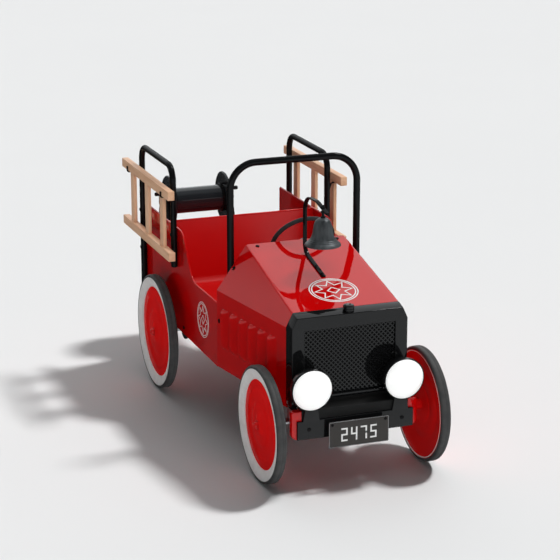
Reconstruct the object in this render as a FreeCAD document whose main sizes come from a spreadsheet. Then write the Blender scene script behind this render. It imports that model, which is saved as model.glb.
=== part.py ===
import FreeCAD, Part
import math
import os
from FreeCAD import Placement, Rotation, Vector

# Fire-engine pedal car.  Front faces -Y, the driver's left is +X, +Z is up and the
# origin lies on the ground below the middle of the bounding box.  Millimetres.

DIMENSIONS = {
    # wheels and axles
    "front_axle_y": -481, "rear_axle_y": 173,
    "front_wheel_radius": 127, "rear_wheel_radius": 139,
    "front_wheel_inner": 174.5, "rear_wheel_inner": 208, "tyre_width": 22,
    "tread_depth": 7, "whitewall_depth": 23, "web_thickness": 2,
    "stub_radius": 6, "axle_radius": 6, "hub_radius": 11, "running_gap": 0.05,
    "kingpin_x": 105, "kingpin_radius": 5, "steer_arm": 90,
    # body
    "tub_half": 187, "sheet": 2, "tub_rear": 410, "tub_top": 411.5,
    "sill_top": 311.5, "body_bottom": 162,
    "hood_rear": -191, "hood_front": -491,
    "hood_rear_top_half": 116.8, "hood_rear_top": 440,
    "hood_rear_half": 187, "hood_rear_shoulder": 341.8,
    "hood_front_top_half": 120.8, "hood_front_top": 370,
    "hood_front_half": 135.6, "hood_front_shoulder": 339.7,
    "shell_front": -516.5, "shell_bottom": 164, "shell_bevel": 6.6,
    "mesh_half": 103.3, "mesh_top": 334.5, "mesh_bottom": 192,
    "deck_top": 285, "deck_half": 185, "tail_half": 112, "tail_rear": 608,
    "seat_front_y": -34, "seat_pan_z": 258, "seat_corner_y": 146.6, "seat_top_y": 175,
    "seat_front_bend": 8, "seat_corner_bend": 20, "footwell_rear": 32, "footwell_sheet": 1.2,
    "footwell_z": 188,
    # chassis
    "rail_x": 85, "rail_width": 20, "rail_height": 12, "rail_top": 162,
    # front end
    "bumper_half": 132, "bumper_top": 149.6, "bumper_bottom": 108.5,
    "bumper_front": -552, "bumper_thick": 6,
    "member_half": 143, "member_bottom": 108, "member_top": 170, "member_depth": 14,
    "plate_half": 68.4, "plate_top": 146.6, "plate_bottom": 88.3, "plate_front": -569,
    "lamp_x": 104.2, "lamp_z": 220.9, "lamp_radius": 44.5, "lamp_front": -563,
    "lamp_depth": 40,
    # tubes
    "screen_x": 151, "screen_y": -182, "screen_top": 623.3, "screen_foot": 200,
    "screen_bend": 60, "screen_tube": 8,
    "rack_x": 194.5, "rack_front": 106, "rack_rear": 366, "rack_top": 558.5,
    "rack_front_foot": 318, "rack_rear_foot": 182, "rack_bend": 36, "rack_tube": 7.5,
    # ladders
    "ladder_x": 216, "rail_depth": 16.5, "ladder_rail_height": 21.5,
    "ladder_front": 51.5, "ladder_length": 392, "ladder_top": 513.5, "ladder_low": 345.5,
    "rung_width": 28, "rung_thick": 7, "rung_pitch": 124, "first_rung": 120,
    # hose reel
    "reel_y": 537, "reel_z": 366, "reel_disc": 68, "reel_drum": 33.5,
    "reel_disc_x": 74, "reel_disc_thick": 3, "reel_axle": 8, "reel_bracket_x": 86,
    "crank_throw": 22,
    # steering
    "wheel_x": 28, "wheel_y": -160, "wheel_z": 427, "wheel_ring": 72, "ring_tube": 5,
    "column_radius": 5, "column_length": 326.3, "drop_arm": 86.2, "column_tilt": 32,
    # pedals and crank
    "crank_radius": 35, "rod_x": 55, "pedal_x": 65, "pedal_pivot_y": -262,
    "pedal_pivot_z": 335, "pedal_drop": 196, "pedal_bar": 173.6,
    # bell
    "bell_y": -356, "bell_rim_z": 470, "bell_height": 61, "bell_radius": 39.5,
    "strap_width": 9, "strap_thick": 3.5, "strap_y": -249, "strap_bend": 42.4,
    "strap_top": 558.5, "strap_toe_y": -364, "strap_end_y": -380,
}

SIDES = {"right": -1, "left": 1}

document = FreeCAD.newDocument("pedal_car")
sheet = document.addObject("Spreadsheet::Sheet", "Sizes")
for row, (alias, number) in enumerate(DIMENSIONS.items(), start=1):
    sheet.set(f"A{row}", alias)
    sheet.set(f"B{row}", str(number))
    sheet.setAlias(f"B{row}", alias)
document.recompute()

nodes = []


class Size:
    """A length together with the sheet formula that drives it."""

    def __init__(self, value, text):
        self.value = value
        self.text = text

    def __add__(self, other):
        other = as_size(other)
        return Size(self.value + other.value, f"({self.text} + {other.text})")

    def __sub__(self, other):
        other = as_size(other)
        return Size(self.value - other.value, f"({self.text} - {other.text})")

    def __mul__(self, other):
        other = as_size(other)
        return Size(self.value * other.value, f"({self.text} * {other.text})")

    def __truediv__(self, other):
        other = as_size(other)
        return Size(self.value / other.value, f"({self.text} / {other.text})")

    def __neg__(self):
        return self * -1

    __radd__ = __add__
    __rmul__ = __mul__

    def __rsub__(self, other):
        return as_size(other) - self


def as_size(number):
    return number if isinstance(number, Size) else Size(float(number), f"{float(number)}")


def dim(alias):
    return Size(float(DIMENSIONS[alias]), f"Sizes.{alias}")


def bind(item, prop, size):
    item.setExpression(prop, as_size(size).text)


def place(item, x, y, z, rotation=None):
    """Put an object at a point whose coordinates follow the sheet."""
    point = [as_size(value) for value in (x, y, z)]
    base = Vector(*(value.value for value in point))
    item.Placement = Placement(base, rotation or Rotation())
    for axis, value in zip("xyz", point):
        bind(item, f"Placement.Base.{axis}", value)
    return item


def node(item, name):
    """Mark an object as a finished sub-part of this name."""
    item.Label = name
    nodes.append(item)
    return item


# ---- primitives -------------------------------------------------------------------

def block(name, x, y, z):
    """A box between pairs of coordinates."""
    item = document.addObject("Part::Box", name)
    (x0, x1), (y0, y1), (z0, z1) = x, y, z
    for prop, low, high in (("Length", x0, x1), ("Width", y0, y1), ("Height", z0, z1)):
        bind(item, prop, as_size(high) - low)
    return place(item, x0, y0, z0)


def rod(name, radius, length, start, direction):
    """A cylinder from a start point along a direction."""
    item = document.addObject("Part::Cylinder", name)
    bind(item, "Radius", radius)
    bind(item, "Height", length)
    return place(item, *start, Rotation(Vector(0, 0, 1), Vector(*direction)))


def cone(name, radius, tip_radius, length, start, direction):
    item = document.addObject("Part::Cone", name)
    bind(item, "Radius1", radius)
    bind(item, "Radius2", tip_radius)
    bind(item, "Height", length)
    return place(item, *start, Rotation(Vector(0, 0, 1), Vector(*direction)))


def fuse(name, shapes):
    item = document.addObject("Part::MultiFuse", name)
    item.Shapes = shapes
    item.Refine = True
    return item


def cut(name, base, tool):
    item = document.addObject("Part::Cut", name)
    item.Base = base
    item.Tool = tool
    return item


def group(name, shapes):
    """Several loose solids that share one node."""
    item = document.addObject("Part::Compound", name)
    item.Links = shapes
    return item


# ---- sketched bodies --------------------------------------------------------------

def body_named(name):
    return document.addObject("PartDesign::Body", name)


def origin_plane(body, role):
    return next(f for f in body.Origin.OriginFeatures if f.Role == role)


def outline_sketch(body, name, role, points, offset=0):
    """A closed polygon on an origin plane; every corner follows the sheet."""
    sketch = body.newObject("Sketcher::SketchObject", name)
    sketch.AttachmentSupport = [(origin_plane(body, role), "")]
    sketch.MapMode = "FlatFace"
    shift = as_size(offset)
    sketch.AttachmentOffset = Placement(Vector(0, 0, shift.value), Rotation())
    bind(sketch, "AttachmentOffset.Base.z", shift)
    corners = [(as_size(u), as_size(v)) for u, v in points]
    count = len(corners)
    for index, (u, v) in enumerate(corners):
        next_u, next_v = corners[(index + 1) % count]
        start = Vector(u.value, v.value, 0)
        end = Vector(next_u.value, next_v.value, 0)
        sketch.addGeometry(Part.LineSegment(start, end), False)
    for index in range(count):
        join = ("Coincident", index, 2, (index + 1) % count, 1)
        sketch.addConstraint(sketcher_constraint(*join))
    for index, (u, v) in enumerate(corners):
        for kind, size in (("DistanceX", u), ("DistanceY", v)):
            number = sketch.addConstraint(
                sketcher_constraint(kind, -1, 1, index, 1, size.value))
            bind(sketch, f"Constraints[{number}]", size)
    return sketch


def sketcher_constraint(*arguments):
    import Sketcher
    return Sketcher.Constraint(*arguments)


def padded(name, role, points, thickness, offset=0):
    """A plate cut to an outline."""
    body = body_named(name)
    sketch = outline_sketch(body, name + "_outline", role, points, offset)
    pad = body.newObject("PartDesign::Pad", name + "_pad")
    pad.Profile = sketch
    bind(pad, "Length", thickness)
    document.recompute()
    return body


def turned(name, role, points, axis):
    """A solid of revolution about a sketch axis."""
    body = body_named(name)
    sketch = outline_sketch(body, name + "_outline", role, points)
    turn = body.newObject("PartDesign::Revolution", name + "_turn")
    turn.Profile = sketch
    turn.ReferenceAxis = (sketch, [axis])
    turn.Angle = 360
    document.recompute()
    return body


def round_edges(body, radius, chosen):
    """Fillet the edges of the body's tip whose middle passes the test."""
    document.recompute()
    tip = body.Tip
    names = []
    for number, edge in enumerate(tip.Shape.Edges, start=1):
        middle = edge.valueAt((edge.FirstParameter + edge.LastParameter) / 2)
        if chosen(edge, middle):
            names.append(f"Edge{number}")
    fillet = body.newObject("PartDesign::Fillet", body.Name + "_round")
    fillet.Base = (tip, names)
    bind(fillet, "Radius", radius)
    document.recompute()
    return body


def bent_tube(name, role, across, legs, top, bend, radius, offset):
    """A round tube bent to an upright U; legs holds the two foot heights."""
    body = body_named(name)
    path = body.newObject("Sketcher::SketchObject", name + "_path")
    path.AttachmentSupport = [(origin_plane(body, role), "")]
    path.MapMode = "FlatFace"
    path.AttachmentOffset = Placement(Vector(0, 0, offset.value), Rotation())
    bind(path, "AttachmentOffset.Base.z", offset)
    low, high = across
    foot_low, foot_high = legs
    left_bend = (low + bend, top - bend)
    right_bend = (high - bend, top - bend)
    lines = [((low, foot_low), (low, top - bend)),
             ((low + bend, top), (high - bend, top)),
             ((high, top - bend), (high, foot_high))]
    for (u0, v0), (u1, v1) in lines:
        start = Vector(u0.value, v0.value, 0)
        end = Vector(u1.value, v1.value, 0)
        path.addGeometry(Part.LineSegment(start, end), False)
    quarter = math.pi / 2
    for (u, v), first in ((left_bend, quarter), (right_bend, 0)):
        circle = Part.Circle(Vector(u.value, v.value, 0), Vector(0, 0, 1), bend.value)
        path.addGeometry(Part.ArcOfCircle(circle, first, first + quarter), False)
    for join in ((0, 2, 3, 2), (3, 1, 1, 1), (1, 2, 4, 2), (4, 1, 2, 1)):
        path.addConstraint(sketcher_constraint("Coincident", *join))
    for index, ends in enumerate(lines):
        for point, (u, v) in enumerate(ends, start=1):
            for kind, size in (("DistanceX", u), ("DistanceY", v)):
                number = path.addConstraint(
                    sketcher_constraint(kind, -1, 1, index, point, size.value))
                bind(path, f"Constraints[{number}]", size)
    for index in (3, 4):
        number = path.addConstraint(sketcher_constraint("Radius", index, bend.value))
        bind(path, f"Constraints[{number}]", bend)
    section = body.newObject("Sketcher::SketchObject", name + "_section")
    section.AttachmentSupport = [(origin_plane(body, "XY_Plane"), "")]
    section.MapMode = "FlatFace"
    section.AttachmentOffset = Placement(Vector(0, 0, foot_low.value), Rotation())
    bind(section, "AttachmentOffset.Base.z", foot_low)
    middle = (low, -offset) if role == "XZ_Plane" else (offset, low)
    centre = Vector(middle[0].value, middle[1].value, 0)
    section.addGeometry(Part.Circle(centre, Vector(0, 0, 1), radius.value), False)
    number = section.addConstraint(sketcher_constraint("Radius", 0, radius.value))
    bind(section, f"Constraints[{number}]", radius)
    for kind, size in (("DistanceX", middle[0]), ("DistanceY", middle[1])):
        number = section.addConstraint(
            sketcher_constraint(kind, -1, 1, 0, 3, size.value))
        bind(section, f"Constraints[{number}]", size)
    pipe = body.newObject("PartDesign::AdditivePipe", name + "_sweep")
    pipe.Profile = section
    pipe.Spine = path
    document.recompute()
    return body


def lofted(body, name, kind, sections):
    """Loft between outlines that stand at several Y stations."""
    sketches = [outline_sketch(body, f"{name}_{index}", "XZ_Plane", points, -station)
                for index, (station, points) in enumerate(sections)]
    loft = body.newObject(kind, name)
    loft.Profile = sketches[0]
    loft.Sections = sketches[1:]
    loft.Ruled = True
    document.recompute()


def faceted(half, top_half, bottom, shoulder, top):
    """The six-cornered section of the hood and the radiator."""
    return [(-half, bottom), (-half, shoulder), (-top_half, top),
            (top_half, top), (half, shoulder), (half, bottom)]


# ---- wheels -----------------------------------------------------------------------

def wheel(prefix, side, radius, inner, axle_y, bore, hub_inner):
    """Tyre, whitewall ring and pressed disc of one wheel, turned about X."""
    sign = SIDES[side]
    tyre_inner = radius - dim("tread_depth")
    wall_inner = tyre_inner - dim("whitewall_depth")
    width = dim("tyre_width")
    web = width - 6
    seat = dim("tyre_width") * 0.4
    facing = Rotation(Vector(0, 0, 1), 0 if sign > 0 else 180)
    outlines = {
        "tyre": [(0, tyre_inner), (0, radius - 4), (3, radius - 1), (7, radius),
                 (width - 7, radius), (width - 3, radius - 1), (width, radius - 4),
                 (width, tyre_inner)],
        "whitewall": [(seat, wall_inner), (seat, tyre_inner), (width, tyre_inner),
                      (width - 1, tyre_inner - 3), (web + 0.5, wall_inner)],
        "disc": [(-hub_inner, bore), (-hub_inner, dim("hub_radius")),
                 (web - 6, dim("hub_radius")), (web - 2, 30), (web - 2, wall_inner - 6),
                 (seat - 4, wall_inner - 2), (0, tyre_inner - 2), (0, tyre_inner),
                 (seat, tyre_inner), (seat, wall_inner), (web, wall_inner - 1),
                 (web, 30), (web + 4, 24), (web + 4, bore)],
    }
    for part, points in outlines.items():
        item = turned(f"{prefix}_{part}_{side}", "XZ_Plane", points, "H_Axis")
        place(item, sign * inner, axle_y, radius, facing)
        node(item, f"{prefix}_{part}_{side}")


def hub_nut(name, side, start, axle_y, radius):
    """A domed nut on the end of an axle."""
    sign = SIDES[side]
    heading = (sign, 0, 0)
    parts = [rod(name + "_flange", 9, 4, (sign * start, axle_y, radius), heading),
             cone(name + "_dome", 8, 4, 7, (sign * (start + 4), axle_y, radius), heading)]
    return fuse(name, parts)


front_radius = dim("front_wheel_radius")
rear_radius = dim("rear_wheel_radius")
front_y = dim("front_axle_y")
rear_y = dim("rear_axle_y")
width = dim("tyre_width")
gap = dim("running_gap")
front_outer = dim("front_wheel_inner") + width - 2
rear_outer = dim("rear_wheel_inner") + width - 2

for side in SIDES:
    wheel("front", side, front_radius, dim("front_wheel_inner"), front_y,
          dim("stub_radius") + gap, 14)
    wheel("rear", side, rear_radius, dim("rear_wheel_inner"), rear_y,
          dim("axle_radius"), 16)
    nut = hub_nut(f"front_nut_{side}", side, front_outer, front_y, front_radius)
    node(nut, f"front_nut_{side}")
rear_nuts = [hub_nut(f"rear_nut_{side}", side, rear_outer, rear_y, rear_radius)
             for side in SIDES]
node(group("rear_nuts", rear_nuts), "rear_nuts")


# ---- front axle and steering ------------------------------------------------------

pin_x = dim("kingpin_x")
pin_low = front_radius - 24
pin_high = front_radius + 24
beam = block("beam", (-pin_x + 16, pin_x - 16), (front_y - 11, front_y + 11),
             (front_radius - 11, front_radius + 11))
axle_parts = [beam]
for side, sign in SIDES.items():
    if sign > 0:
        reach = (pin_x - 18, pin_x + 12)
        pad_x = (dim("rail_x") - 8, dim("rail_x") + 2)
    else:
        reach = (-pin_x - 12, -pin_x + 18)
        pad_x = (-dim("rail_x") - 2, -dim("rail_x") + 8)
    for level, low in (("upper", front_radius + 17), ("lower", front_radius - 22)):
        axle_parts.append(block(f"yoke_{level}_{side}", reach,
                                (front_y - 10, front_y + 10), (low, low + 5)))
    axle_parts.append(block(f"yoke_web_{side}", tuple(sorted(
        (sign * (pin_x - 18), sign * (pin_x - 13)), key=lambda size: size.value)),
        (front_y - 10, front_y + 10), (front_radius - 22, front_radius + 22)))
    axle_parts.append(rod(f"kingpin_{side}", dim("kingpin_radius"), pin_high - pin_low,
                          (sign * pin_x, front_y, pin_low), (0, 0, 1)))
    axle_parts.append(block(f"axle_pad_{side}", pad_x, (front_y - 11, front_y + 11),
                            (front_radius + 11, dim("rail_top") - dim("rail_height"))))
node(fuse("front_axle", axle_parts), "front_axle")

arm_low = dim("rail_top") + 2
arm_tip_y = front_y + dim("steer_arm")
for side, sign in SIDES.items():
    def across(low, high):
        pair = (sign * low, sign * high)
        return tuple(sorted(pair, key=lambda size: size.value))
    barrel = rod(f"barrel_{side}", 11, 33.4,
                 (sign * pin_x, front_y, front_radius - 16.7), (0, 0, 1))
    web_block = block(f"knuckle_web_{side}", across(pin_x + 6, pin_x + 20),
                      (front_y - 9, front_y + 9), (front_radius - 9, front_radius + 9))
    upright = block(f"knuckle_upright_{side}", across(pin_x + 14, pin_x + 20),
                    (front_y - 6, front_y + 9), (front_radius - 9, arm_low + 4))
    arm = block(f"steer_arm_{side}", across(pin_x - 8, pin_x + 20),
                (front_y - 6, arm_tip_y + 8), (arm_low, arm_low + 4))
    shoulder = cone(f"stub_shoulder_{side}", 7, 9, 32,
                    (sign * (pin_x + 20), front_y, front_radius), (sign, 0, 0))
    stub = rod(f"stub_{side}", dim("stub_radius"),
               front_outer - 0.5 - pin_x - 20,
               (sign * (pin_x + 20), front_y, front_radius), (sign, 0, 0))
    solid = fuse(f"knuckle_solid_{side}", [barrel, web_block, upright, arm, shoulder, stub])
    bore = rod(f"kingpin_bore_{side}", dim("kingpin_radius") + gap, 40,
               (sign * pin_x, front_y, front_radius - 20), (0, 0, 1))
    eye = rod(f"arm_eye_{side}", 5, 10, (sign * pin_x, arm_tip_y, arm_low - 3), (0, 0, 1))
    holes = fuse(f"knuckle_holes_{side}", [bore, eye])
    node(cut(f"knuckle_{side}", solid, holes), f"knuckle_{side}")

tie_z = arm_low + 9.5
tie_parts = [rod("tie_bar", 4, pin_x * 2 + 12, (-pin_x - 6, arm_tip_y, tie_z), (1, 0, 0))]
for side, sign in SIDES.items():
    tie_parts.append(rod(f"tie_pin_{side}", 3, 10.3,
                         (sign * pin_x, arm_tip_y, tie_z - 10.3), (0, 0, 1)))
for edge, low in (("near", dim("wheel_x") - 11.5), ("far", dim("wheel_x") + 7.5)):
    tie_parts.append(block(f"prong_{edge}", (low, low + 4),
                           (arm_tip_y - 7, arm_tip_y + 7), (tie_z, tie_z + 26)))
node(fuse("tie_rod", tie_parts), "tie_rod")

tilt = math.radians(DIMENSIONS["column_tilt"])
column_dir = Vector(0, -math.cos(tilt), -math.sin(tilt))
drop_dir = Vector(0, math.sin(tilt), -math.cos(tilt))
hub = Vector(DIMENSIONS["wheel_x"], DIMENSIONS["wheel_y"], DIMENSIONS["wheel_z"])
column_turn = Rotation(Vector(0, 0, 1), column_dir)
elbow = hub + column_dir * DIMENSIONS["column_length"]


def along_column(name, radius, start, length):
    """A cylinder on the steering axis, measured down from the wheel hub."""
    point = hub + column_dir * start
    item = rod(name, radius, length, (point.x, point.y, point.z), tuple(column_dir))
    return item


column_shaft = along_column("column_shaft", dim("column_radius"), 13,
                            dim("column_length") - 13)
column_elbow = document.addObject("Part::Sphere", "column_elbow")
bind(column_elbow, "Radius", dim("column_radius"))
place(column_elbow, elbow.x, elbow.y, elbow.z)
drop_arm = rod("drop_arm", dim("column_radius"), dim("drop_arm"),
               (elbow.x, elbow.y, elbow.z), tuple(drop_dir))
node(fuse("steering_column", [column_shaft, column_elbow, drop_arm]), "steering_column")

ring = document.addObject("Part::Torus", "ring")
bind(ring, "Radius1", dim("wheel_ring"))
bind(ring, "Radius2", dim("ring_tube"))
place(ring, dim("wheel_x"), dim("wheel_y"), dim("wheel_z"), column_turn)
hub_boss = along_column("hub_boss", 13, 3, 10)
wheel_parts = [ring, hub_boss]
spoke_root = hub + column_dir * 8
for index in range(3):
    turn = math.radians(180 * index / 2 if index < 2 else 270)
    spoke_dir = Vector(math.cos(math.radians((0, 180, 270)[index])), 0, 0)
    if index == 2:
        spoke_dir = drop_dir
    spoke_end = hub + spoke_dir * DIMENSIONS["wheel_ring"]
    run = spoke_end - spoke_root
    wheel_parts.append(rod(f"spoke_{index}", 3.5, run.Length,
                           (spoke_root.x, spoke_root.y, spoke_root.z), tuple(run)))
node(fuse("steering_wheel", wheel_parts), "steering_wheel")

bearing_at = 250
bearing = hub + column_dir * bearing_at
post = block("column_post", (dim("wheel_x") - 9, dim("wheel_x") + 9),
             (bearing.y - 3, bearing.y + 3), (dim("rail_top") + 5, bearing.z))
sleeve = along_column("column_sleeve", 10, bearing_at - 12, 24)
sleeve_bore = along_column("column_sleeve_bore", dim("column_radius") + gap,
                           bearing_at - 40, 80)
node(cut("column_bracket", fuse("column_bracket_solid", [post, sleeve]), sleeve_bore),
     "column_bracket")


# ---- chassis ----------------------------------------------------------------------

rail_bottom = dim("rail_top") - dim("rail_height")
member_back = dim("bumper_front") + dim("bumper_thick") + dim("member_depth")
chassis_parts = []
for side, sign in SIDES.items():
    low, high = sorted((sign * (dim("rail_x") - dim("rail_width") / 2),
                        sign * (dim("rail_x") + dim("rail_width") / 2)),
                       key=lambda size: size.value)
    chassis_parts.append(block(f"rail_{side}", (low, high), (member_back, dim("tub_rear") - 4),
                               (rail_bottom, dim("rail_top"))))
    for index, station in enumerate((-150, 60, 380)):
        inner, outer = sorted((sign * dim("rail_x"), sign * (dim("tub_half") - dim("sheet"))),
                              key=lambda size: size.value)
        chassis_parts.append(block(f"outrigger_{side}_{index}", (inner, outer),
                                   (station, station + 18),
                                   (dim("rail_top"), dim("rail_top") + 5)))
for index, station in enumerate((bearing.y - 8, 240, 370)):
    chassis_parts.append(block(f"crossmember_{index}", (-dim("rail_x"), dim("rail_x")),
                               (station, station + 16),
                               (dim("rail_top"), dim("rail_top") + 5)))
pan_half = dim("tub_half") - dim("sheet")
pan_run = (dim("hood_rear") + 3, dim("footwell_rear"))
chassis_parts.append(block("footwell_pan", (-pan_half, pan_half), pan_run,
                           (dim("footwell_z"), dim("footwell_z") + dim("footwell_sheet"))))
for side, sign in SIDES.items():
    inner, outer = sorted((sign * (pan_half - dim("footwell_sheet")), sign * pan_half),
                          key=lambda size: size.value)
    chassis_parts.append(block(f"footwell_flange_{side}", (inner, outer), pan_run,
                               (dim("rail_top"), dim("footwell_z") + dim("footwell_sheet"))))
node(fuse("chassis_frame", chassis_parts), "chassis_frame")

member_front = dim("bumper_front") + dim("bumper_thick")
member = block("member_solid", (-dim("member_half"), dim("member_half")),
               (member_front, member_back), (dim("member_bottom"), dim("member_top")))
member_hollow = block("member_hollow", (-dim("member_half") + 4, dim("member_half") - 4),
                      (member_front + 3, member_back - 3),
                      (dim("member_bottom") - 1, dim("member_top") - 4))
node(cut("front_cross_member", member, member_hollow), "front_cross_member")


# ---- body panels ------------------------------------------------------------------

tub_half = dim("tub_half")
thin = dim("sheet")
top = dim("tub_top")
sill = dim("sill_top")
bottom = dim("body_bottom")
side_outline = [(dim("hood_rear"), bottom), (dim("tub_rear"), bottom), (dim("tub_rear"), top),
                (60.4, top), (1.6, sill), (dim("hood_rear"), sill)]
for side, sign in SIDES.items():
    offset = tub_half - thin if sign > 0 else -tub_half
    panel = padded(f"tub_side_{side}", "YZ_Plane", side_outline, thin, offset)
    round_edges(panel, 60, lambda edge, middle: abs(edge.Length - 2) < 0.1
                and middle.z > 300 and -10 < middle.y < 70)
    node(panel, f"tub_side_{side}")

inside = tub_half - thin
dash_outline = [(-inside, bottom + 2), (-inside, dim("hood_rear_shoulder") - 2),
                (-dim("hood_rear_top_half") + 2, dim("hood_rear_top") - 3),
                (dim("hood_rear_top_half") - 2, dim("hood_rear_top") - 3),
                (inside, dim("hood_rear_shoulder") - 2), (inside, bottom + 2),
                (150, bottom + 2), (150, 300), (-150, 300), (-150, bottom + 2)]
dash_sheet = padded("dash_sheet", "XZ_Plane", dash_outline, thin, -dim("hood_rear") - 1)
column_hole = along_column("column_hole", 12, 15, 60)
dash_plate = cut("dash_plate", dash_sheet, column_hole)
dash_distance = (DIMENSIONS["wheel_y"] - DIMENSIONS["hood_rear"]) / math.cos(tilt)
grommet = along_column("grommet_solid", 12, dash_distance - 8, 16)
grommet_bore = along_column("grommet_bore", dim("column_radius") + gap,
                            dash_distance - 20, 40)
node(fuse("dash_panel", [dash_plate, cut("column_grommet", grommet, grommet_bore)]),
     "dash_panel")

hood = body_named("hood")
hood_sections = []
hood_hollows = []
for station, half, top_half, shoulder, crown in (
        (dim("hood_rear"), dim("hood_rear_half"), dim("hood_rear_top_half"),
         dim("hood_rear_shoulder"), dim("hood_rear_top")),
        (dim("hood_front"), dim("hood_front_half"), dim("hood_front_top_half"),
         dim("hood_front_shoulder"), dim("hood_front_top"))):
    hood_sections.append((station, faceted(half, top_half, bottom, shoulder, crown)))
    hood_hollows.append((station, faceted(half - thin, top_half - thin * 0.6, bottom - 5,
                                          shoulder - thin * 0.5, crown - thin)))
lofted(hood, "hood_outside", "PartDesign::AdditiveLoft", hood_sections)
lofted(hood, "hood_inside", "PartDesign::SubtractiveLoft", hood_hollows)
node(hood, "hood")

shell = body_named("shell_body")
bevel = dim("shell_bevel")
back_section = faceted(dim("hood_front_half"), dim("hood_front_top_half"),
                       dim("shell_bottom"), dim("hood_front_shoulder"), dim("hood_front_top"))
front_section = faceted(dim("hood_front_half") - 4.6, dim("hood_front_top_half") - 0.6,
                        dim("shell_bottom") + 2, dim("hood_front_shoulder"),
                        dim("hood_front_top") - bevel)
lofted(shell, "shell_outside", "PartDesign::AdditiveLoft",
       [(dim("hood_front"), back_section), (dim("shell_front"), front_section)])
window = outline_sketch(shell, "shell_window", "XZ_Plane", [
    (-dim("mesh_half"), dim("mesh_bottom")), (-dim("mesh_half"), dim("mesh_top")),
    (dim("mesh_half"), dim("mesh_top")), (dim("mesh_half"), dim("mesh_bottom"))],
    -dim("hood_front"))
opening = shell.newObject("PartDesign::Pocket", "shell_opening")
opening.Profile = window
opening.Type = "ThroughAll"
opening.Midplane = True
cap_y = dim("shell_front") + 12
neck_hole = rod("neck_hole", 9, 30, (0, cap_y, dim("hood_front_top") - 12), (0, 0, 1))
node(cut("shell_drilled", shell, neck_hole), "radiator_shell")
node(block("grille_mesh", (-dim("mesh_half"), dim("mesh_half")),
           (dim("shell_front") + 6, dim("shell_front") + 8),
           (dim("mesh_bottom"), dim("mesh_top"))), "grille_mesh")
node(fuse("radiator_cap", [
    rod("cap_neck", 9, 14, (0, cap_y, dim("hood_front_top") - 12), (0, 0, 1)),
    rod("cap_body", 12, 8, (0, cap_y, dim("hood_front_top") + 1), (0, 0, 1)),
    cone("cap_top", 12, 9.5, 2.5, (0, cap_y, dim("hood_front_top") + 9), (0, 0, 1))]),
     "radiator_cap")



def fold(before, corner, after, radius):
    """Start, middle and end of the arc that rounds a corner of a folded sheet."""
    to_before = (before - corner).normalize()
    to_after = (after - corner).normalize()
    half = to_before.getAngle(to_after) / 2
    reach = radius / math.tan(half)
    inward = (to_before + to_after).normalize()
    return (corner + to_before * reach,
            corner + inward * (radius / math.sin(half) - radius),
            corner + to_after * reach)


# one folded sheet: turned-down front edge, flat pan, round corner and leaning back
front_corner = Vector(0, DIMENSIONS["seat_front_y"], DIMENSIONS["seat_pan_z"])
front_foot = front_corner - Vector(0, 0, 20)
back_corner = Vector(0, DIMENSIONS["seat_corner_y"], DIMENSIONS["seat_pan_z"])
back_top = Vector(0, DIMENSIONS["seat_top_y"], DIMENSIONS["tub_top"] + 1.5)
front_fold = fold(front_foot, front_corner, back_corner, DIMENSIONS["seat_front_bend"])
back_fold = fold(front_corner, back_corner, back_top, DIMENSIONS["seat_corner_bend"])
seat_path = Part.Wire([
    Part.LineSegment(front_foot, front_fold[0]).toShape(),
    Part.Arc(*front_fold).toShape(),
    Part.LineSegment(front_fold[2], back_fold[0]).toShape(),
    Part.Arc(*back_fold).toShape(),
    Part.LineSegment(back_fold[2], back_top).toShape()])
seat_profile = seat_path.makeOffset2D(1.0, fill=True, openResult=True)
seat_band = seat_profile if seat_profile.Faces else Part.Face(seat_profile)
seat = document.addObject("Part::Feature", "seat")
seat_width = (DIMENSIONS["tub_half"] - DIMENSIONS["sheet"]) * 2
seat.Shape = seat_band.extrude(Vector(seat_width, 0, 0))
seat.Placement = Placement(Vector(-seat_width / 2, 0, 0), Rotation())
node(seat, "seat")

deck_front = dim("seat_top_y") + 6
deck_points = [(-dim("deck_half"), deck_front), (dim("deck_half"), deck_front),
               (dim("deck_half"), dim("tub_rear")), (dim("tail_half"), dim("tub_rear")),
               (dim("tail_half"), dim("tail_rear")), (-dim("tail_half"), dim("tail_rear")),
               (-dim("tail_half"), dim("tub_rear")), (-dim("deck_half"), dim("tub_rear"))]
deck_inner = [(-dim("deck_half") + thin, deck_front + thin),
              (dim("deck_half") - thin, deck_front + thin),
              (dim("deck_half") - thin, dim("tub_rear") - thin),
              (dim("tail_half") - thin, dim("tub_rear") - thin),
              (dim("tail_half") - thin, dim("tail_rear") - thin),
              (-dim("tail_half") + thin, dim("tail_rear") - thin),
              (-dim("tail_half") + thin, dim("tub_rear") - thin),
              (-dim("deck_half") + thin, dim("tub_rear") - thin)]
deck_solid = padded("deck_solid", "XY_Plane", deck_points, 16, dim("deck_top") - 16)
deck_hollow = padded("deck_hollow", "XY_Plane", deck_inner, 16, dim("deck_top") - 16 - thin)
rear_panel = block("rear_panel", (-dim("deck_half"), dim("deck_half")),
                   (dim("tub_rear") - thin, dim("tub_rear")),
                   (bottom + 6, dim("deck_top") - thin))
node(fuse("rear_deck", [cut("deck_tray", deck_solid, deck_hollow), rear_panel]), "rear_deck")
stays = []
for side, sign in SIDES.items():
    foot = Vector(sign * 70, DIMENSIONS["tub_rear"] + 1, 182)
    head = Vector(sign * 70, DIMENSIONS["tail_rear"] - 24, 278)
    run = head - foot
    stays.append(rod(f"tail_stay_{side}", 6, run.Length, tuple(foot), tuple(run)))
node(group("tail_stays", stays), "tail_stays")


# ---- front trim -------------------------------------------------------------------

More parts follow.
